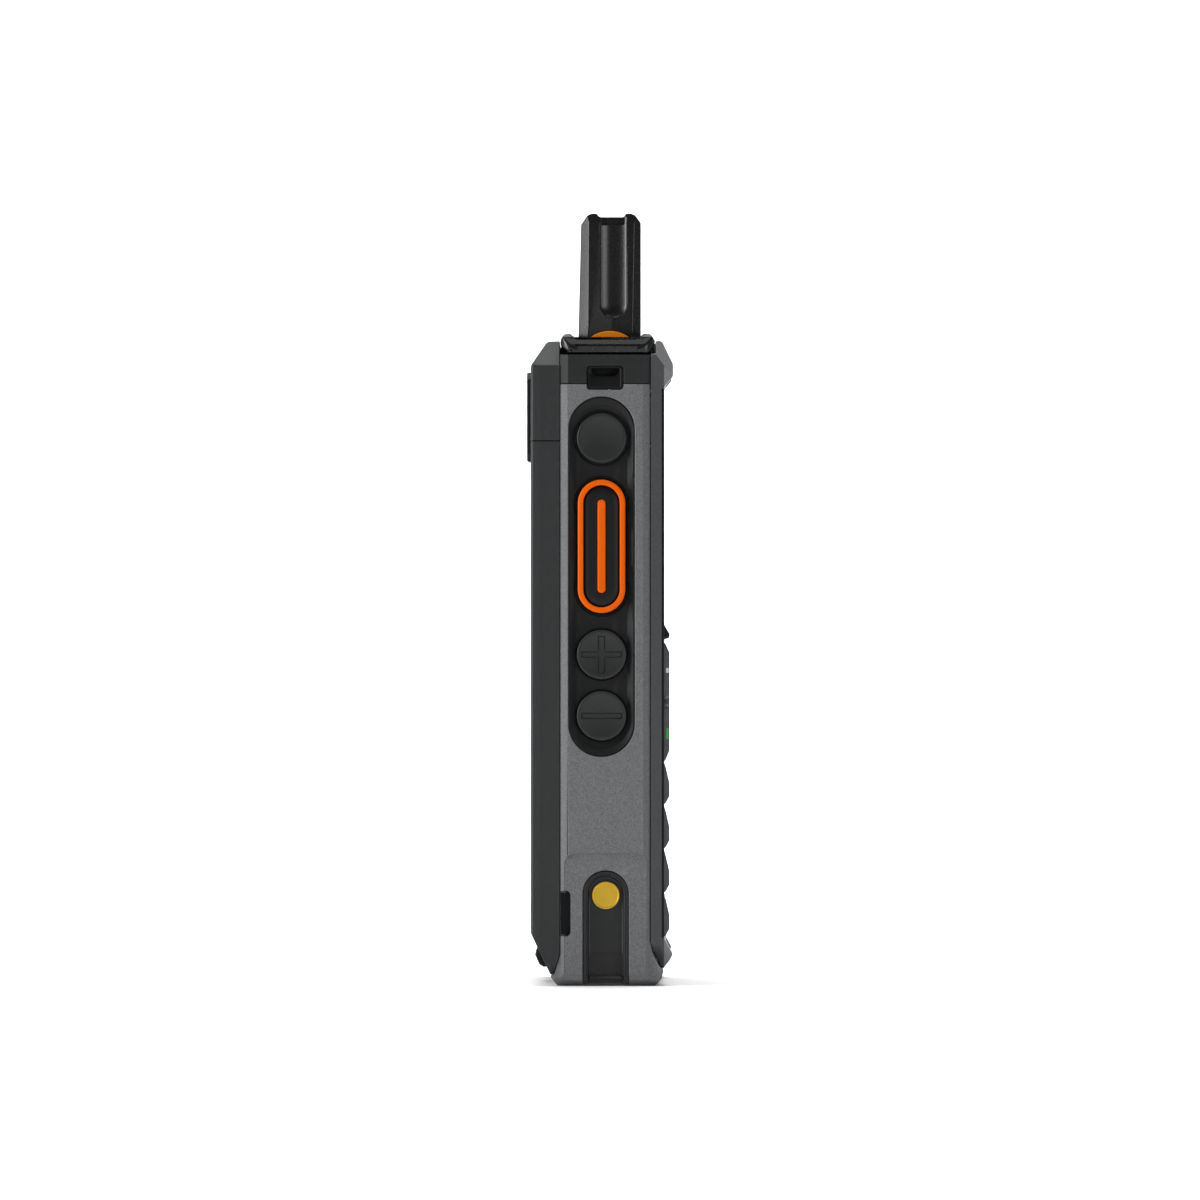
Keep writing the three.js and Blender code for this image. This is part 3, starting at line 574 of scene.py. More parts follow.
def around(node, u, v, grow, radius):
    """A rectangle round a CAD node's box, grown on all four sides. u and v name its axes."""
    low, high = span(node)
    near = [getattr(low, axis) - grow for axis in (u, v)]
    far = [getattr(high, axis) + grow for axis in (u, v)]
    return rectangle(*near, *far, radius)


def strap_outline(inset):
    return around("lanyard_anchor", "y", "z", GAP - inset, 0.7)


def port_outline(inset):
    return around("port_cover", "y", "z", 0.2 - inset, 1.6)


def lamp_outline(grow):
    return around("status_lamp", "x", "y", grow, 0.85)


def lens_outline(grow):
    return around("display_lens", "x", "z", grow, 1.4)


def keypad_outline():
    return rectangle(-22.9, 9.1, 22.9, 66.4, 1.2)


def key_pocket_outline(inset):
    low, high = span("side_key_bezel")
    grow = GAP - inset
    half_width = half_size("side_key_bezel", "y") + grow
    half_length = half_size("side_key_bezel", "z") + grow
    return pill(SIDE_KEY_Y, (low.z + high.z) / 2, half_width, half_length, 20)


def channel_outline(inset):
    low, high = span("contact_channel_left")
    half_width = half_size("contact_channel_left", "y") + GAP - inset
    return arch((low.y + high.y) / 2, half_width, -3.0, high.z + GAP - inset)


# ---------------------------------------------------------------- grey frame


def grey_frame():
    profile = shaped([
        (-9.7, 0, 0.6), (-10.85, 1.45, 0.6), (-11.25, 2.95, 0.3), (-10.55, 3.7, 0.3),
        (-9.1, 6.4, 1.5), (-FRAME_DEPTH, 8.6, 2.0), (-FRAME_DEPTH, 125, 0), (FRAME_DEPTH, 125, 0),
        (FRAME_DEPTH, 6.1, 1.5), (9.7, 2.4, 0.5), (10.6, 1.9, 0.25), (9.2, 0, 0.5),
    ])
    made = solid("frame", plan_section(FRAME_DEPTH, SIDE), "z", -1, FRAME_TOP, 0, 0.15)
    common(
        made,
        prism("profile", profile, "x", -40, 40),
        prism("front", foot_outline(), "y", -20, 20),
    )
    inner = SIDE - 2.2
    cut(
        made,
        block((-inner, -12, 3.6), (inner, -0.7, FRAME_TOP + 1)),
        block((-21.6, 0.7, 4), (21.6, 12, 103), 0.5),
        block((-21.6, 0.7, 105), (21.6, 12, 114.6)),
        block((-inner, -6, 43.5), (-22.6, 7.2, FRAME_TOP - 1.2)),
        block((-6, -2, 7.6), (6, 2, 12.4)),
        block((-17, -2, 107), (-13, 2, 112)),
        block((inner - 1, -6.3, 69), (SIDE, -2.6, 80)),
        hole("keys", key_pocket_outline(0), "x", -SIDE, -inner + 0.1, 0.25),
        hole("strap", strap_outline(0), "x", -SIDE, STRAP_FLOOR, 0.2),
        hole("port", port_outline(0), "x", SIDE, 25.8, 0.2),
    )
    for side in (-1, 1):
        guide = rectangle(-7.9, -3, 7.9, 25.6, 2.3)
        notch = rectangle(6.8, 9.7, 12, 18.3, 0.8)
        floor = side * (SIDE - 0.4)
        cut(
            made,
            hole("guide", guide, "x", side * SIDE, floor, 0.15, 0.1),
            hole("channel", channel_outline(0), "x", floor, side * 24.3, 0.15),
            hole("notch", notch, "x", side * SIDE, side * 25.6, 0.12, 0.3),
        )
    soften(made, 0.12)
    dress(made, "main_frame", [GREY, BLACK], name="grey_frame")
    paint(made, 1, lambda c: abs(c.x) < SIDE - 0.15 and 6.6 < c.y < 7.95 and 9.6 < c.z < 18.4)


# ---------------------------------------------------------------- charging channels


def contact_channel(side):
    """Black insert of a charging channel, with a double rim, a round-cornered floor and a low step."""
    name = "left" if side < 0 else "right"
    low, high = span("contact_channel_left")
    centre = (low.y + high.y) / 2
    face = low.x
    made = solid("insert", channel_outline(GAP), "x", face, -24.5, 0.15)
    flange = prism("flange", channel_outline(-0.6), "x", -25.15, -24.5)
    join(made, common(flange, block((-30, low.y - 1, 4), (-20, -0.8, high.z + 1))))
    deep = rectangle(centre - 3.3, -4, centre + 3.3, 6.4, 0.4)
    line = prism("line", channel_outline(0.62), "x", face - 1, face + 0.3)
    cut(line, prism("core", channel_outline(0.8), "x", face - 2, face + 1))
    cut(
        made,
        line,
        hole("groove", arch(centre, 3.45, -4, high.z - 0.85), "x", face, -25.3, 0.25, 0.5),
        hole("deep", deep, "x", -25.6, -24.95, 0.0, 0.1),
        prism("mouth", rectangle(-6, -4, 6, 0.6), "x", -28, -24),
    )
    ledge = rectangle(centre - 3.25, 1.35, centre + 3.25, 1.98, 0.2, 3)
    join(made, solid("ledge", ledge, "x", -25.95, -24.8, 0.15))
    common(made, prism("foot", foot_outline(), "y", -9, 9))
    pad = contact_pad(centre)
    if side > 0:
        mirror(made)
        mirror(pad)
    dress(made, "contact_channel_" + name, CHANNEL)
    dress(pad, "charge_contact_" + name, GOLD)


def contact_pad(centre):
    """Gold pad with a raised rim and a dished face."""
    low, high = span("charge_contact_left")
    radius = half_size("charge_contact_left", "y")
    pad = solid("pad", circle(centre, CONTACT_Z, radius), "x", low.x, high.x, 0.12)
    face = circle(centre, CONTACT_Z, radius - 0.3)
    return cut(pad, hole("dish", face, "x", low.x, low.x + 0.1, 0.06, 0.05))


def strap_anchor():
    """Black insert with a ramp that leads up into a deep hole for the strap's cord."""
    low, high = span("lanyard_anchor")
    face = low.x
    made = solid("anchor", strap_outline(GAP), "x", face, high.x, 0.1)
    centre = (low.y + high.y) / 2
    join(made, block((-25.2, low.y - 0.8, low.z - 0.8), (-24.4, -0.85, low.z + 1)))
    ramp = shaped([
        (-29, 115.2, 0), (face + 0.1, 115.35, 0.3), (-26.5, 117.9, 0.4), (-26.5, 119.2, 0),
        (-29, 119.2, 0),
    ])
    mouth = symmetric([(2.75, 117.5, 1.3), (2.75, 119.05, 0.3)], centre)
    cut(
        made,
        solid("ramp", ramp, "y", centre - 3.05, centre + 3.05, 0.3, 0.3),
        hole("hole", mouth, "x", -26.7, -24.2, 0.1, 0.2, clear=1),
    )
    dress(made, "lanyard_anchor", BLACK, name="strap_anchor")


# ---------------------------------------------------------------- top


def top_housing():
    outline_front = shaped([
        (-28.9, FRAME_TOP + 0.12, 0), (28.9, FRAME_TOP + 0.12, 0), (28.9, 118.4, 0),
        (23.6, DECK_TOP, 1.2), (-28.9, DECK_TOP, 0),
    ])
    made = prism("housing", plan_section(FRAME_DEPTH - 0.05, SIDE), "z", FRAME_TOP, DECK_TOP + 1)
    collar_low, collar_high = span("antenna_collar")
    antenna = middle("antenna_core")
    common(made, prism("front", outline_front, "y", -FRAME_DEPTH, FRAME_DEPTH))
    cut(
        made,
        block((-30, -10, collar_low.z - 0.3), (collar_high.x + GAP, 10, DECK_TOP + 1), 0.3),
        hole("strap", strap_outline(0), "x", -SIDE, STRAP_FLOOR, 0.2),
        prism("antenna", circle(antenna.x, antenna.y, 2.2), "z", 110, 125),
        prism("lamp", lamp_outline(GAP), "z", 119, 125),
    )
    soften(made, 0.15)
    dress(made, "top_housing", HOUSING)


def status_lamp():
    low, high = span("status_lamp")
    made = solid("lamp", lamp_outline(0), "z", low.z, high.z, 0, 0.3)
    dress(made, "status_lamp", LAMP)


def antenna_collar():
    """A rounded bar whose middle dips to a saddle for the antenna's foot."""
    low, high = span("antenna_collar")
    side = shaped([
        (-8.4, low.z, 0.5), (low.y, 123.7, 1.0), (low.y, 124.7, 1.0), (-8.7, high.z, 0.9),
        (-7.5, high.z, 0.8), (-6.3, 124.85, 1.6), (5.6, 124.85, 1.6), (6.8, high.z, 0.8),
        (7.8, high.z, 0.9), (high.y, 124.7, 1.0), (high.y, 123.7, 1.0), (7.0, low.z, 0.5),
    ])
    front = shaped([
        (low.x + 0.3, low.z - 1, 0), (high.x, low.z - 1, 0), (high.x, 124.2, 0.8),
        (high.x - 1.8, high.z + 0.3, 0.5), (low.x + 2.2, high.z + 0.3, 0.8),
        (low.x + 1.15, 125.1, 0.8), (low.x, 123.35, 0.3),
    ])
    made = prism("collar", side, "x", low.x - 1, high.x + 1)
    common(
        made,
        prism("front", front, "y", -12, 12),
        prism("plan", rectangle(low.x + 0.02, low.y, high.x - 0.02, high.y, 2.6, 10), "z", 120, 128),
    )
    antenna = middle("antenna_core")
    cut(made, prism("hole", circle(antenna.x, antenna.y, 2.4), "z", 120, 128))
    soften(made, 0.35, 20, 3)
    dress(made, "antenna_collar", GLOSSY)


def antenna_cover():
    """Eight-sided rubber stub. A groove runs up each side face, whose two halves lean in towards it."""
    low, high = span("antenna_cover")
    centre = (low.x + high.x) / 2
    half = half_size("antenna_cover", "x")
    rear, front = high.y, low.y
    groove = -1.25
    dip = 0.8

    def plan(lean):
        """Section of the stub. lean is how far its rear has moved in."""
        corners = [(half - 1.65, front, 0.2), (half, -5.25, 0.15), (half - dip, groove, 0.1)]
        corners += [(half, 3.3 - lean, 0.15), (half - 1.9, rear - lean, 0.2)]
        return ring_points(symmetric(corners, centre, 3), 0)

    profile = shaped([
        (front - 0.1, ANTENNA_FOOT, 0), (front - 0.1, 147.2, 0.5), (-5.8, 148.8, 0.6),
        (-5.0, high.z + 0.1, 0.35), (-4.1, high.z + 0.1, 0.35), (-3.5, 148.5, 0.4),
        (1.1, 148.5, 0.4), (1.7, high.z + 0.1, 0.35), (2.6, high.z + 0.1, 0.35), (3.4, 148.8, 0.6),
        (4.7, 147.0, 0.5), (rear + 0.1, ANTENNA_FOOT, 0),
    ])
    taper = symmetric([(half, ANTENNA_FOOT, 0), (half - 0.4, 147.4, 0.5), (half - 1.7, 151, 0)], centre)
    made = loft("antenna", "z", [(ANTENNA_FOOT, plan(0)), (151, plan(0.65))])
    common(
        made,
        prism("profile", profile, "x", centre - 9, centre + 9),
        prism("taper", taper, "y", -9, 9),
    )
    bowl = [(0.4 + 0.75 * (1 - (1 - t / 10) ** 2), 0.06 + 0.245 * t) for t in range(11)]
    for side in (-1, 1):
        face = centre + side * (half - 0.35)
        scoop = pill(groove - 0.3, 145, 2.65, 16.1, 24)
        tip = rectangle(groove - 2.5, 146.9, groove + 2.1, 160, 0.3)
        tab_floor = centre + side * (half - 0.8)
        cut(
            made,
            stack("scoop", scoop, "x", [(face - side * d, inset) for d, inset in [(-1, 0)] + bowl]),
            prism("tip", tip, "x", face + side, face - side * 2.2),
            prism("tab", circle(TAB_Y, TAB_Z, TAB_RADIUS + 0.12, 24), "x", face + side, tab_floor),
        )
    cut(
        made,
        prism("bore", circle(centre, -0.9, 1.9), "z", 120, 146.2),
        block((centre - half - 1, TAB_Y - 3.3, 124), (centre + half + 1, TAB_Y + 3.3, 125.4)),
    )
    soften(made, 0.12, 20)
    dress(made, "antenna_cover", ANTENNA_RUBBER)


def antenna_ring():
    """Orange plate under the antenna, with a round tab up each side face."""
    low, high = span("antenna_ring")
    centre = middle("antenna_core").x
    half = half_size("antenna_ring", "x")
    plate = rectangle(low.x + 0.15, TAB_Y - 3.2, high.x - 0.15, TAB_Y + 3.2, 0.3)
    made = solid("plate", plate, "z", low.z + 0.02, 125.3, 0.05, 0.05)
    for side in (-1, 1):
        ends = sorted((centre + side * half, centre + side * (half - 0.65)))
        tab = solid("tab", circle(TAB_Y, TAB_Z, TAB_RADIUS, 24), "x", *ends, 0.15, 0.15)
        common(tab, block((-40, -12, low.z), (10, 12, 130)))
        join(made, tab)
    cut(made, prism("hole", circle(centre, TAB_Y, 2.1), "z", 124, 126))
    dress(made, "antenna_ring", AMBER)


# ---------------------------------------------------------------- side keys


def side_key_bezel():
    """Sunken black surround of the side keys. Its wall slopes more gently at the two ends."""
    low, high = span("side_key_bezel")
    face = -SIDE + 0.08
    upper, lower = middle("program_button").z, middle("volume_down_button").z
    length = half_size("ptt_ring", "z")
    centre = (low.z + high.z) / 2
    floor_length = (upper + 5.3 - (lower - 4.9)) / 2

    def level(x, half_width, half_length):
        return x, ring_points(pill(SIDE_KEY_Y, centre, half_width, half_length, 20), 0)

    made = solid("bezel", key_pocket_outline(GAP), "x", face, high.x, 0.12)
    levels = [level(face - 1, 6.25, 34.55), level(face, 6.1, 34.4)]
    levels += [level(face + 0.08, 6.02, 34.25), level(KEY_FLOOR, 4.95, floor_length)]
    cut(made, loft("well", "x", levels))
    for key, radius in (("program", 5.32), ("volume_up", 5.0), ("volume_down", 5.0)):
        z = middle(key + "_button").z
        opening = circle(SIDE_KEY_Y, z, radius, 24)
        cut(made, hole("opening", opening, "x", KEY_FLOOR, SWITCH_X, 0.15, clear=0.5))
    for z in (PTT_Z - length + 4.6, PTT_Z + length - 4.6):
        bay = circle(SIDE_KEY_Y, z, 5.3, 24)
        cut(made, hole("bay", bay, "x", KEY_FLOOR, KEY_FLOOR + 0.5, 0.12, 0.1, clear=1))
    bay = pill(SIDE_KEY_Y, PTT_Z, 4.95, length + 0.35)
    cut(made, hole("hole", bay, "x", KEY_FLOOR, SWITCH_X, 0.1, clear=0.5))
    dress(made, "side_key_bezel", BEZEL)


def key_blank(z, radius=4.75):
    """Round side key with a dished face and a narrow rim, and the flange that holds it in."""
    low, high = span("program_button")
    face = low.x
    reach = radius - 0.3
    dish = [(face + 0.42 * (1 - (1 - t / 7) ** 2), 0.3 + reach * t / 7.3) for t in range(7, -1, -1)]
    edge = [(face + 0.03, 0.12), (face + 0.12, 0.03), (face + 0.3, 0.0)]
    made = stack("key", circle(SIDE_KEY_Y, z, radius, 24), "x", dish + edge + [(-25, 0)])
    flange = prism("flange", circle(SIDE_KEY_Y, z, radius + 0.6, 20), "x", high.x - 0.6, high.x)
    return join(made, flange)


def sign_groove(shape, face, depth=0.6, width=0.22):
    """Cutter for a thin groove along an outline."""
    groove = prism("groove", shape, "x", face - 1, face + depth)
    core = stack("core", shape, "x", [(face - 2, width), (face + 1, width)])
    return cut(groove, core)


def cross_outline(y, z, arm_y, arm_z, half_y, half_z):
    """A plus sign: half_y and half_z are half the widths of its upright and level bars."""
    points = []
    for sy, sz in ((1, 1), (-1, 1), (-1, -1), (1, -1)):
        corner = [(arm_y * sy, half_z * sz), (half_y * sy, half_z * sz), (half_y * sy, arm_z * sz)]
        points += corner if sy == sz else corner[::-1]
    return outline([(y + u, z + v) for u, v in points], 0.12, 3)


def side_keys():
    face = span("program_button")[0].x
    for body in ("program", "volume_up", "volume_down"):
        node = body + "_button"
        z = middle(node).z
        made = key_blank(z)
        if body == "volume_up":
            cut(made, sign_groove(cross_outline(SIDE_KEY_Y, z, 3.9, 3.6, 0.67, 0.6), face))
        if body == "volume_down":
            bar = rectangle(SIDE_KEY_Y - 3.9, z - 0.6, SIDE_KEY_Y + 3.9, z + 0.6, 0.15, 3)
            cut(made, sign_groove(bar, face))
        dress(made, node, RUBBER, body=body)


def talk_key():
    low, high = span("ptt_button")
    half_length = half_size("ptt_ring", "z")
    half_width = half_size("ptt_ring", "y")
    face = low.x
    dome = [(face, 1.9), (face + 0.04, 1.1), (face + 0.16, 0.5), (face + 0.38, 0.15), (face + 0.65, 0.0)]
    made = stack("talk", pill(SIDE_KEY_Y, PTT_Z, 3.42, half_length - 1.16, 20), "x", dome + [(-25.1, 0)])
    flange = pill(SIDE_KEY_Y, PTT_Z, half_width + 0.6, half_length + 0.6)
    join(
        made,
        prism("step", pill(SIDE_KEY_Y, PTT_Z, half_width, half_length), "x", -26.35, -25.1),
        prism("flange", flange, "x", -25.2, high.x),
    )
    cut(made, hole("groove", pill(SIDE_KEY_Y, PTT_Z, 0.9, 9.12), "x", face, face + 0.5, 0.12, 0))
    dress(made, "ptt_button", TALK_RUBBER, body="ptt", name="talk_key")

    low, high = span("ptt_ring")
    ring = solid("ring", pill(SIDE_KEY_Y, PTT_Z, half_width, half_length, 24), "x", low.x, high.x, 0.4)
    inside = pill(SIDE_KEY_Y, PTT_Z, 3.5, half_length - 1.08, 24)
    cut(ring, hole("inside", inside, "x", low.x, high.x + 1, 0.25))
    dress(ring, "ptt_ring", ORANGE, body="ptt", name="talk_key_ring")

    low, high = span("ptt_bar")
    bar = solid("bar", pill(SIDE_KEY_Y, PTT_Z, 0.78, 9.0, 12), "x", low.x, high.x, 0.3)
    dress(bar, "ptt_bar", ORANGE, body="ptt", name="talk_key_bar")


# ---------------------------------------------------------------- front


def front_shell():
    low, high = span("front_shell")
    profile = shaped([
        (-8.78, 8.7, 0.2), (-9.2, 6.5, 1.2), (-10.66, 3.82, 0.3), (-11.2, 3.2, 0.2),
        (-12.5, 4.9, 0.5), (-13.06, 6.1, 0.5), (PANEL_FACE, 9.1, 0.6), (PANEL_FACE, 115.4, 0.8),
        (low.y, 117.6, 0.5), (low.y, 119.9, 0.4), (-11.1, 124.1, 0.3), (-10.7, high.z + 0.2, 0.2),
        (-8.78, high.z + 0.2, 0.2),
    ])
    front = symmetric([(21.5, 3.0, 2.0), (28.5, 9.4, 0), (28.5, 125, 0)])
    plan = symmetric([(SHELL_SIDE - 1.1, -13.4, 0), (SHELL_SIDE, -11.2, 0.4), (SHELL_SIDE, -7, 0)])
    made = prism("shell", profile, "x", -WIDE, WIDE)
    common(
        made,
        prism("front", front, "y", PAST_FRONT, -7),
        prism("plan", plan, "z", 0, 130),
    )
    for side in (-1, 1):
        score(made, (side * SHELL_SIDE, -9.2, 122.3), (side * 6.92, -7.14, 5.25), remove=True)
    recess = PANEL_BACK + 0.05
    collar_low, collar_high = span("antenna_collar")
    cut(
        made,
        hole("brow", rectangle(-15.5, 115, 15.5, 126, 0.8), "y", PAST_FRONT, -11.9, 0, 0.3),
        hole("chin", rectangle(-15.5, 2, 15.5, 9.3, 0.8), "y", PAST_FRONT, -11.9, 0, 0.3),
        block((-31, PAST_FRONT, 9.3), (31, recess, 115.3)),
        block((-25.2, -9.7, 5.5), (25.2, -6, 122.5)),
        prism("keypad", keypad_outline(), "y", PAST_FRONT, PAST_SHELL),
        prism("lens", lens_outline(0.2), "y", PAST_FRONT, -10.25),
        prism("screen", rectangle(-20.8, 72.7, 20.8, 102, 0.8), "y", PAST_FRONT, PAST_SHELL),
        prism("speaker", rectangle(-12.6, 106.3, 12.6, 113.2, 2), "y", PAST_FRONT, PAST_SHELL),
        hole("microphone", pill(6, 7.3, 0.35, 0.7), "y", -11.9, PAST_SHELL, 0.15),
        block((-30, -9.75, collar_low.z - GAP), (collar_high.x + GAP, -6, 126)),
    )
    soften(made, 0.15, 25)
    score(made, (0, BUMPER_Y, 0), (0, 1, 0))
    dress(made, "front_shell", [DARK, TRIM])
    paint(made, 1, lambda c: c.y < BUMPER_Y and (c.z > 114.5 or c.z < 10) or c.y < -9 and c.z > 121.6)


def front_panel():
    low, high = span("front_panel")
    made = solid("panel", rectangle(low.x, low.z, high.x, high.z, 0.6), "y", PANEL_FACE, high.y, 0.15)
    ridge = shaped([
        (-11.0, 70.4, 0), (low.y, 67.8, 0.3), (-12.4, 67.1, 0.3), (-11.3, 66.7, 0), (-11.0, 66.7, 0),
    ])
    join(made, solid("ridge", ridge, "x", -23.6, 23.6, 0.6, 0.6))
    cut(
        made,
        hole("keypad", keypad_outline(), "y", PANEL_FACE, PAST_SHELL, 0.12),
        hole("lens", lens_outline(0.2), "y", PANEL_FACE, PAST_SHELL, 0.12),
    )
    for z in (107.2, 109.0, 110.8, 112.6):
        slot = rectangle(-11.5, z - 0.45, 11.5, z + 0.45, 0.44)
        cut(made, hole("slot", slot, "y", PANEL_FACE, PAST_SHELL, 0.15))
    dress(made, "front_panel", BLACK)


def display_lens():
    low, high = span("display_lens")
    made = solid("lens", lens_outline(0), "y", low.y, high.y, 0.2)
    dress(made, "display_lens", GLASS)


# ---------------------------------------------------------------- keypad


def letters(text, size, x, z):
    """Raised print on the keys' faces, as a mesh object."""
    curve = bpy.data.curves.new("letters", "FONT")
    curve.body = text
    curve.size = size * MM
    curve.align_x = "CENTER"
    curve.align_y = "CENTER"
    curve.extrude = PRINT * MM
    curve.resolution_u = 4
    writing = new_object("letters", curve)
    writing.rotation_euler = (math.pi / 2, 0, 0)
    writing.location = Vector((x, KEY_FACE, z)) * MM
    bpy.context.view_layer.update()
    data = bpy.data.meshes.new_from_object(writing.evaluated_get(bpy.context.evaluated_depsgraph_get()))
    data.transform(writing.matrix_world)
    bpy.data.objects.remove(writing)
    return new_object("letters", data)


def with_print(made, prints):
    """Joins prints, a list of (object, material index), into one piece with made."""
    mesh = bmesh.new()
    mesh.from_mesh(made.data)
    for other, index in prints:
        before = len(mesh.faces)
        mesh.from_mesh(other.data)
        mesh.faces.ensure_lookup_table()
        for face in mesh.faces[before:]:
            face.material_index = index
        bpy.data.objects.remove(other)
    mesh.to_mesh(made.data)
    mesh.free()
    return made


def dress_key(made, node, *prints):
    dress(made, node, [KEY_RUBBER, *prints], body=node + "_body")


def key_wave(low, high, rise_high, rise_low):
    """A key's cross-section: a ramp down to its low edge and a long or short one to its high edge."""
    edge = PANEL_FACE - 0.2
    section = shaped([
        (KEY_BACK, low, 0), (edge, low, 0.15), (KEY_FACE, low + rise_low, 0.5),
        (KEY_FACE, high - rise_high, 0.8), (edge, high, 0.15), (KEY_BACK, high, 0),
    ])
    return prism("wave", section, "x", -WIDE, WIDE)


def key_blank_front(x0, z0, x1, z1, radius):
    """Upright key body whose sides lean in towards its face."""
    lean = [(KEY_BACK, 0), (PANEL_FACE, 0), (KEY_FACE - 0.3, 0.75)]
    return stack("key", rectangle(x0, z0, x1, z1, radius, 4), "y", lean)


LETTERS = {
    "1": "", "2": "ABC", "3": "DEF", "4": "GHI", "5": "JKL", "6": "MNO",
    "7": "PQRS", "8": "TUV", "9": "WXYZ", "star": "", "0": "", "hash": "",
}
SIGNS = {"star": "*", "hash": "#"}


def number_keys():
    for name, group in LETTERS.items():
        node = "key_" + name
        low, high = span(node)
        x = (low.x + high.x) / 2
        made = key_blank_front(low.x, low.z, high.x, high.z, 1.0)
        common(made, key_wave(low.z, high.z, 3.5, 1.55))
        soften(made, 0.12, 35)
        level = low.z + 2.9
        apart = 1.9 if group else 0
        prints = [(letters(SIGNS.get(name, name), 3.1, x - apart, level), WHITE)]
        if group:
            prints.append((letters(group, 1.5, x + apart, level), WHITE))
        with_print(made, prints)
        dress_key(made, node, WHITE_PRINT)


def corner_keys():
    centre = middle("navigation_ring")
    prints = {"soft_key_left": WHITE, "soft_key_right": WHITE, "call_key": GREEN, "end_key": RED}
    for node, finish in prints.items():
        low, high = span(node)
        left = low.x < 0
        upper = node.startswith("soft")
        x0 = low.x if left else 2.0
        x1 = -2.0 if left else high.x
        made = key_blank_front(x0, low.z, x1, high.z, 1.4)
        rises = (1.9, 0.4) if upper else (0.4, 2.0)
        common(made, key_wave(low.z, high.z, *rises))
        cut(
            made,
            prism("ring", circle(centre.x, centre.z, 9.85, 24), "y", PAST_FRONT, PAST_SHELL),
            block((-3.2, PAST_FRONT, 40), (3.2, PAST_SHELL, 70)),
        )
        soften(made, 0.12, 35)
        side = -1 if left else 1
        z = 60.8 if upper else 48.6
        sign = bar_sign(side, z) if upper else handset_sign(side, z)
        edge_mark = side_mark(side, z, 0.9 if upper else 2.1)
        with_print(made, [(sign, finish), (edge_mark, finish)])
        dress_key(made, node, WHITE_PRINT, GREEN_PRINT, RED_PRINT)


SIGN_X = 16


def raised(shape, face):
    """A print with the shape's outline on a face that looks to the front."""
    return prism("print", shape, "y", face - PRINT, face + 0.1)


def bar_sign(side, z):
    """A short level bar, the usual mark of a soft key."""
    x = side * SIGN_X
    return raised(rectangle(x - 2.2, z - 0.3, x + 2.2, z + 0.3, 0.2, 3), KEY_FACE)


def handset_sign(side, z):
    """A plain telephone handset seen from the side."""
    x = side * SIGN_X
    half = [(1.0, z - 0.1, 0.3), (1.2, z - 0.9, 0.2), (2.4, z - 0.9, 0.25), (2.2, z + 0.9, 0.8)]
    shape = symmetric(half, x, 4)
    return raised(shape, KEY_FACE)


def side_mark(side, z, height):
    """Colour band where a key's print wraps over its leaning outer side."""
    face = rectangle(-12.25, z - height / 2, -11.75, z + height / 2, 0.12, 3)
    return stack("mark", face, "x", sorted([(side * 22.35, 0), (side * 21.55, 0)]))


def navigation_keys():
    low, high = span("navigation_ring")
    centre = middle("navigation_ring")
    outer = circle(centre.x, centre.z, half_size("navigation_ring", "x"), 28)
    made = solid("ring", outer, "y", low.y, high.y, 0.7, 0, 6)
    inside = circle(centre.x, centre.z, 4.6, 24)
    cut(made, hole("inside", inside, "y", low.y, high.y + 1, 0.9, 0, 6))
    marks = []
    for turn in range(4):
        angle = turn * math.pi / 2
        x = centre.x + 7.2 * math.cos(angle)
        z = centre.z + 7.2 * math.sin(angle)
        points = [(0.55, 0), (-0.35, 0.65), (-0.35, -0.65)]
        turned = [
            (x + u * math.cos(angle) - v * math.sin(angle), z + u * math.sin(angle) + v * math.cos(angle))
            for u, v in points
        ]
        marks.append((raised(outline(turned, 0.08, 2), low.y), WHITE))
    with_print(made, marks)
    dress_key(made, "navigation_ring", WHITE_PRINT)

    low, high = span("ok_key")
    dome = [(low.y, 2.4), (low.y + 0.05, 1.2), (low.y + 0.2, 0.45), (low.y + 0.5, 0.05), (high.y, 0)]
    made = stack("ok", circle(centre.x, centre.z, half_size("ok_key", "x"), 20), "y", dome)
    ring = raised(circle(centre.x, centre.z, 1.5, 12), low.y)
    cut(ring, prism("core", circle(centre.x, centre.z, 1.15, 12), "y", low.y - 1, low.y + 1))
    with_print(made, [(ring, WHITE)])
    dress_key(made, "ok_key", WHITE_PRINT)


# ---------------------------------------------------------------- back


def back_section():
    """Plan of the battery and the rear cover: flat sides with a narrow bevel at each rear corner."""
    return symmetric([(BACK_SIDE, 7, 0), (BACK_SIDE, 12.6, 0.4), (26.75, 13.95, 0.3), (25.8, 14.9, 0)])


def rear_cover():
    low = span("rear_cover")[0]
    profile = shaped([
        (low.y, 105.15, 0), (BACK, 105.15, 0.15), (BACK, 119.6, 1.6), (11.2, SHOULDER, 1.2),
        (low.y, SHOULDER + 0.1, 0),
    ])
    front = symmetric([(28.5, 100, 0), (28.5, 117.9, 0), (22.4, SHOULDER + 0.1, 1.0)])
    made = prism("cover", profile, "x", -WIDE, WIDE)
    common(
        made,
        prism("plan", back_section(), "z", 100, 126),
        prism("front", front, "y", 6, 16),
    )
    join(made, block((-11.2, low.y + 0.02, low.z), (11.2, BACK - 0.01, 106), 0.3))
    cut(made, block((-21.4, 6, 106.5), (21.4, 12.6, 119.4)))
    for node in SCREWS:
        screw = middle(node)
        cut(made, prism("hole", circle(screw.x, screw.z, 1.3), "y", 11, 16))
    soften(made, 0.15, 25)
    dress(made, "rear_cover", BATTERY)


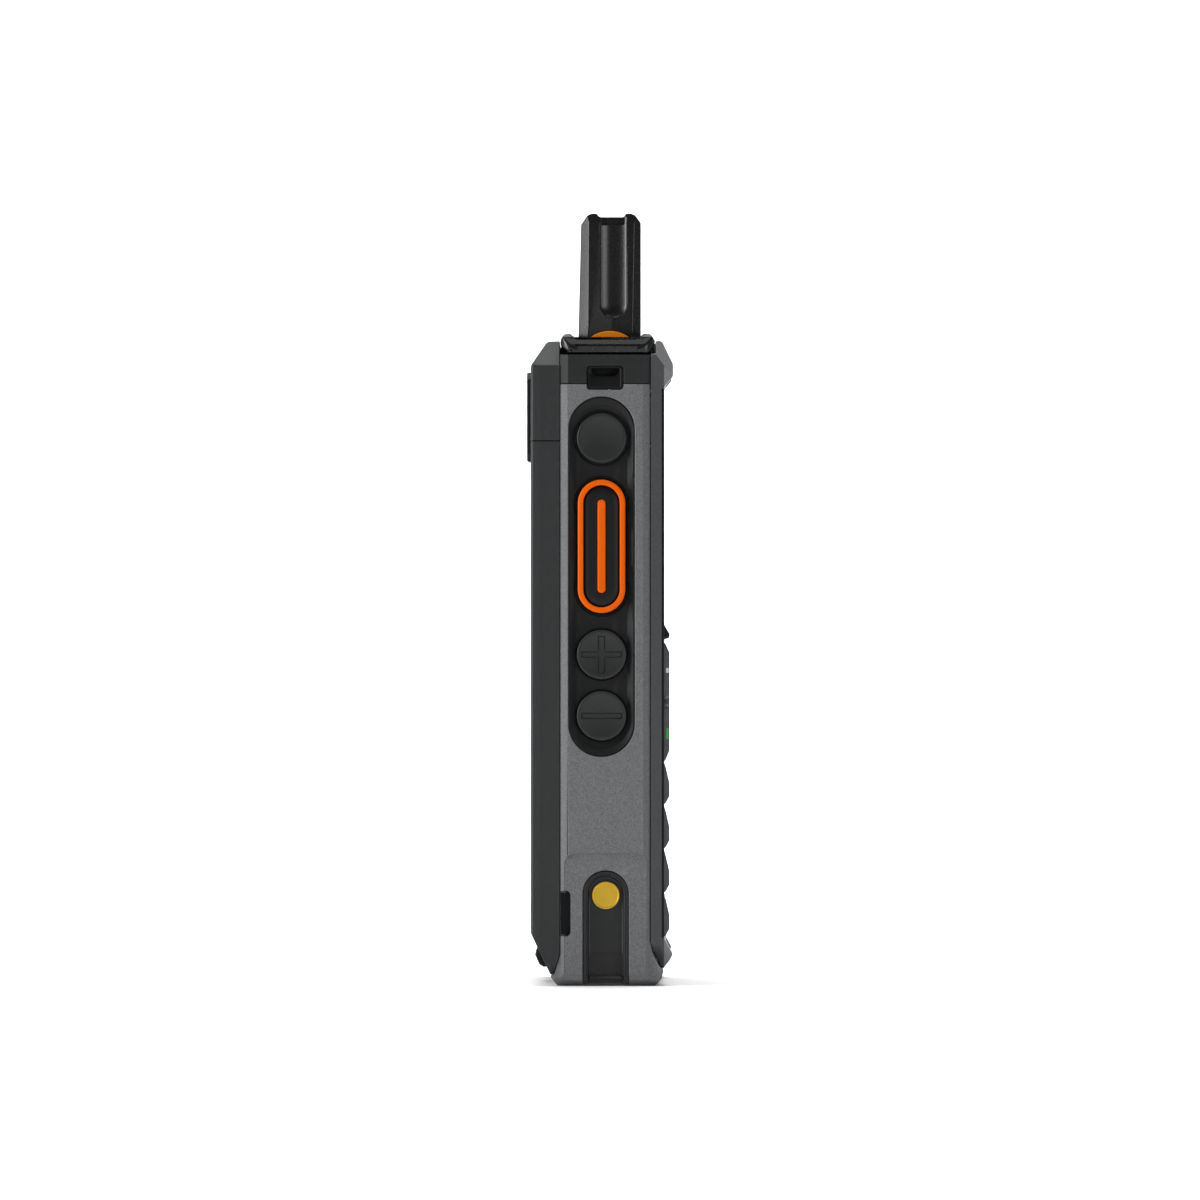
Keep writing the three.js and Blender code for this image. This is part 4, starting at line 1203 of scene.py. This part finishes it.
def clip_plate():
    low, high = span("clip_plate")
    bevel = 1.4
    x = high.x - bevel
    corners = [(x, low.z), (high.x, low.z + bevel), (high.x, high.z - bevel), (x, high.z)]
    shape = symmetric([(*corner, 0.4) for corner in corners], steps=3)
    made = solid("plate", shape, "y", low.y, high.y, 0, 0.3)
    for node in SCREWS:
        screw = middle(node)
        cut(made, hole("hole", circle(screw.x, screw.z, 2.2), "y", high.y, low.y - 1, 0.15))
        plate_screw(node, screw)
    dress(made, "clip_plate", BLACK)


def plate_screw(node, place):
    low, high = span(node)
    head = solid("head", circle(place.x, place.z, 2.0), "y", high.y - 0.65, high.y, 0, 0.2)
    join(head, prism("shank", circle(place.x, place.z, 1.1), "y", low.y, high.y - 0.5))
    for turn in (0, 1):
        u, v = (1.25, 0.25) if turn else (0.25, 1.25)
        slot = rectangle(place.x - u, place.z - v, place.x + u, place.z + v, 0.1, 2)
        cut(head, prism("slot", slot, "y", high.y - 0.4, high.y + 1))
    dress(head, node, STEEL)


# The battery's foot slopes down and inwards. u runs down the slope and v out of it.
SLOPE_TOP = Vector((0, 14.1, 9.7))  # the point on the slope where u is 0
SLOPE_DOWN = Vector((0, -0.4495, -0.8933))
SLOPE_OUT = Vector((0, 0.8933, -0.4495))


def on_slope(made):
    """Moves an object drawn with u along Y and v along Z, both from 0, onto the slope."""
    turn = Matrix((Vector((1, 0, 0)), SLOPE_DOWN, SLOPE_OUT)).transposed().to_4x4()
    made.data.transform(Matrix.Translation(SLOPE_TOP * MM) @ turn)
    return made


def battery():
    low, high = span("battery_cover")
    profile = shaped([
        (low.y - 0.12, 6.2, 1.2), (9.8, 2.6, 0.5), (10.55, 2.15, 0.25), (BACK, 10.2, 0.8),
        (BACK, high.z, 0.2), (low.y - 0.12, high.z, 0),
    ])
    front = symmetric([(23.6, 1.0, 1.0), (25.6, 2.2, 1.0), (28.8, 8.1, 0), (28.8, 108, 0)])
    made = prism("battery", profile, "x", -WIDE, WIDE)
    common(
        made,
        prism("plan", back_section(), "z", 0, 110),
        prism("front", front, "y", 6, 16),
    )
    slot = on_slope(prism("slot", rectangle(-3.4, 2.2, 3.4, 7.2, 0.4), "z", -2.6, 1))
    cut(
        made,
        block((-21.3, 6, 11), (21.3, 12.6, 100)),
        block((-11.5, 6, 101), (11.5, 16, 110), 0.3),
        hole("panel", rectangle(-17.5, 24, 17.5, 92, 2.0), "y", BACK, BACK - 0.3, 0.15, 0.1),
        slot,
    )
    soften(made, 0.12, 25)
    dress(made, "battery_cover", BATTERY, body="battery")

    low, high = span("battery_base")
    tub = solid("tub", rectangle(low.x, low.z, high.x, high.z, 1.2), "y", low.y, high.y + 0.15, 0.4)
    cut(tub, prism("inside", rectangle(-20.2, 5.4, 20.2, 98.6, 0.6), "y", 2, 12))
    terminals = []
    for x in (-4.2, 0, 4.2):
        cut(tub, hole("seat", rectangle(x - 1.5, 8.2, x + 1.5, 11.8, 0.3), "y", low.y, low.y + 0.25, 0.08))
        terminal = rectangle(x - 1.3, 8.4, x + 1.3, 11.6, 0.3)
        terminals.append((prism("terminal", terminal, "y", low.y + 0.12, low.y + 0.3), 1))
    with_print(tub, terminals)
    dress(tub, "battery_base", [BLACK, GOLD], body="battery", name="battery_tub")


def battery_latch():
    knob = outline([(3, 0.2), (3.3, 0.9), (4.1, 1.55), (6.1, 1.65), (7, 1.1), (7.3, 0.2)], 0.25, 3)
    made = solid("knob", knob, "x", -6.5, 6.5, 0.4, 0.4)
    join(made, prism("stem", rectangle(4.4, -2.2, 6.3, 0.4), "x", -3, 3))
    for u in (4.4, 5.1, 5.8):
        cut(made, prism("grip", rectangle(u - 0.15, 1.35, u + 0.15, 2), "x", -5.6, 5.6))
    on_slope(made)
    dress(made, "battery_latch", BLACK, body="latch")


def port_cover():
    low, high = span("port_cover")
    face = SIDE + 0.1
    made = solid("cap", port_outline(0.2), "x", low.x + 0.65, face, 0, 0.3)
    frame_line = prism("line", port_outline(1.1), "x", face - 0.15, face + 1)
    cut(frame_line, prism("core", port_outline(1.3), "x", face - 1, face + 2))
    cut(made, frame_line)
    y = (low.y + high.y) / 2
    lip = rectangle(y - 2, high.z - 1.6, y + 2, high.z - 0.7, 0.4, 4)
    join(
        made,
        solid("lip", lip, "x", face - 0.4, high.x, 0, 0.25),
        solid("plug", rectangle(-5.9, 70.6, -3, 78.6, 1.2), "x", low.x, low.x + 0.8, 0.2, 0),
    )
    dress(made, "port_cover", RUBBER, body="port_flap")


# ---------------------------------------------------------------- inner CAD nodes


def paint_inner_nodes():
    """Finishes for the CAD nodes that stay as they are, inside the shell."""
    steel_nodes = ("shield_can", "usb_connector", "loudspeaker", "antenna_core", "microphone")
    finishes = {
        "main_board": BOARD, "side_switch_board": BOARD, "battery_connector": BLACK,
        "battery_cell": CELL, "keypad_mat": RUBBER, "display_module": GLASS, "speaker_mesh": MESH,
    }
    finishes.update(dict.fromkeys(steel_nodes, STEEL))
    for name, material in finishes.items():
        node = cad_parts[name]
        node.data.materials.clear()
        node.data.materials.append(material)
        edges = node.modifiers.new("edges", "BEVEL")
        edges.width = 0.15 * MM
        edges.segments = 2
        edges.limit_method = "ANGLE"


# ---------------------------------------------------------------- stage, light and camera


def stage():
    """A pale floor that curves up into a backdrop on the far side of the radio."""
    mesh = bmesh.new()
    curve = [(-6.0, 0.0), (1.5, 0.0)]
    curve += [(1.5 + 1.5 * math.sin(a), 1.5 - 1.5 * math.cos(a)) for a in quarter(12)[1:]]
    curve.append((3.0, 6.0))
    rows = [[mesh.verts.new((x, y, z)) for y in (-6.0, 6.0)] for x, z in curve]
    for a, b in zip(rows, rows[1:]):
        mesh.faces.new((a[0], b[0], b[1], a[1]))
    floor = object_from("floor", mesh)
    floor.data.shade_smooth()
    floor.data.materials.append(floor_paint())


def soft_light(name, place, aim, size, power):
    """A square area light at place that faces aim."""
    light = bpy.data.lights.new(name, "AREA")
    light.size = size
    light.energy = power
    holder = new_object(name, light)
    holder.location = place
    holder.rotation_mode = "QUATERNION"
    holder.rotation_quaternion = (Vector(aim) - Vector(place)).to_track_quat("-Z", "Y")


def lighting():
    world = bpy.data.worlds.new("studio")
    world.use_nodes = True
    world.node_tree.nodes["Background"].inputs["Color"].default_value = (1, 1, 1, 1)
    world.node_tree.nodes["Background"].inputs["Strength"].default_value = 0.1
    bpy.context.scene.world = world
    soft_light("overhead", (0.25, 0, 1.5), (0.1, 0, 0), 1.6, 34)
    soft_light("wall_washer", (1.0, 0, 1.6), (2.6, 0, 0.2), 1.4, 70)
    soft_light("rear_side", (-0.3, 0.85, 0.3), (0, 0, 0.08), 0.5, 9)
    soft_light("front_side", (-0.75, -0.65, 0.2), (0, 0, 0.08), 0.35, 2.0)
    bpy.context.scene.view_settings.view_transform = "Standard"


def camera():
    """A long lens, square on to the talk-key side."""
    view_height = 0.2311
    distance = 2.0
    lens = bpy.data.cameras.new("camera")
    lens.sensor_width = 36
    lens.lens = lens.sensor_width * distance / view_height
    lens.clip_start = 0.1
    holder = new_object("camera", lens)
    holder.location = (-distance - SIDE * MM, 0.001, 0.0744)
    holder.rotation_euler = (math.pi / 2, 0, -math.pi / 2)
    bpy.context.scene.camera = holder


# ---------------------------------------------------------------- build

grey_frame()
contact_channel(-1)
contact_channel(1)
strap_anchor()
top_housing()
status_lamp()
antenna_collar()
antenna_cover()
antenna_ring()
side_key_bezel()
side_keys()
talk_key()
front_shell()
front_panel()
display_lens()
number_keys()
corner_keys()
navigation_keys()
rear_cover()
clip_plate()
battery()
battery_latch()
port_cover()
paint_inner_nodes()
stage()
lighting()
camera()
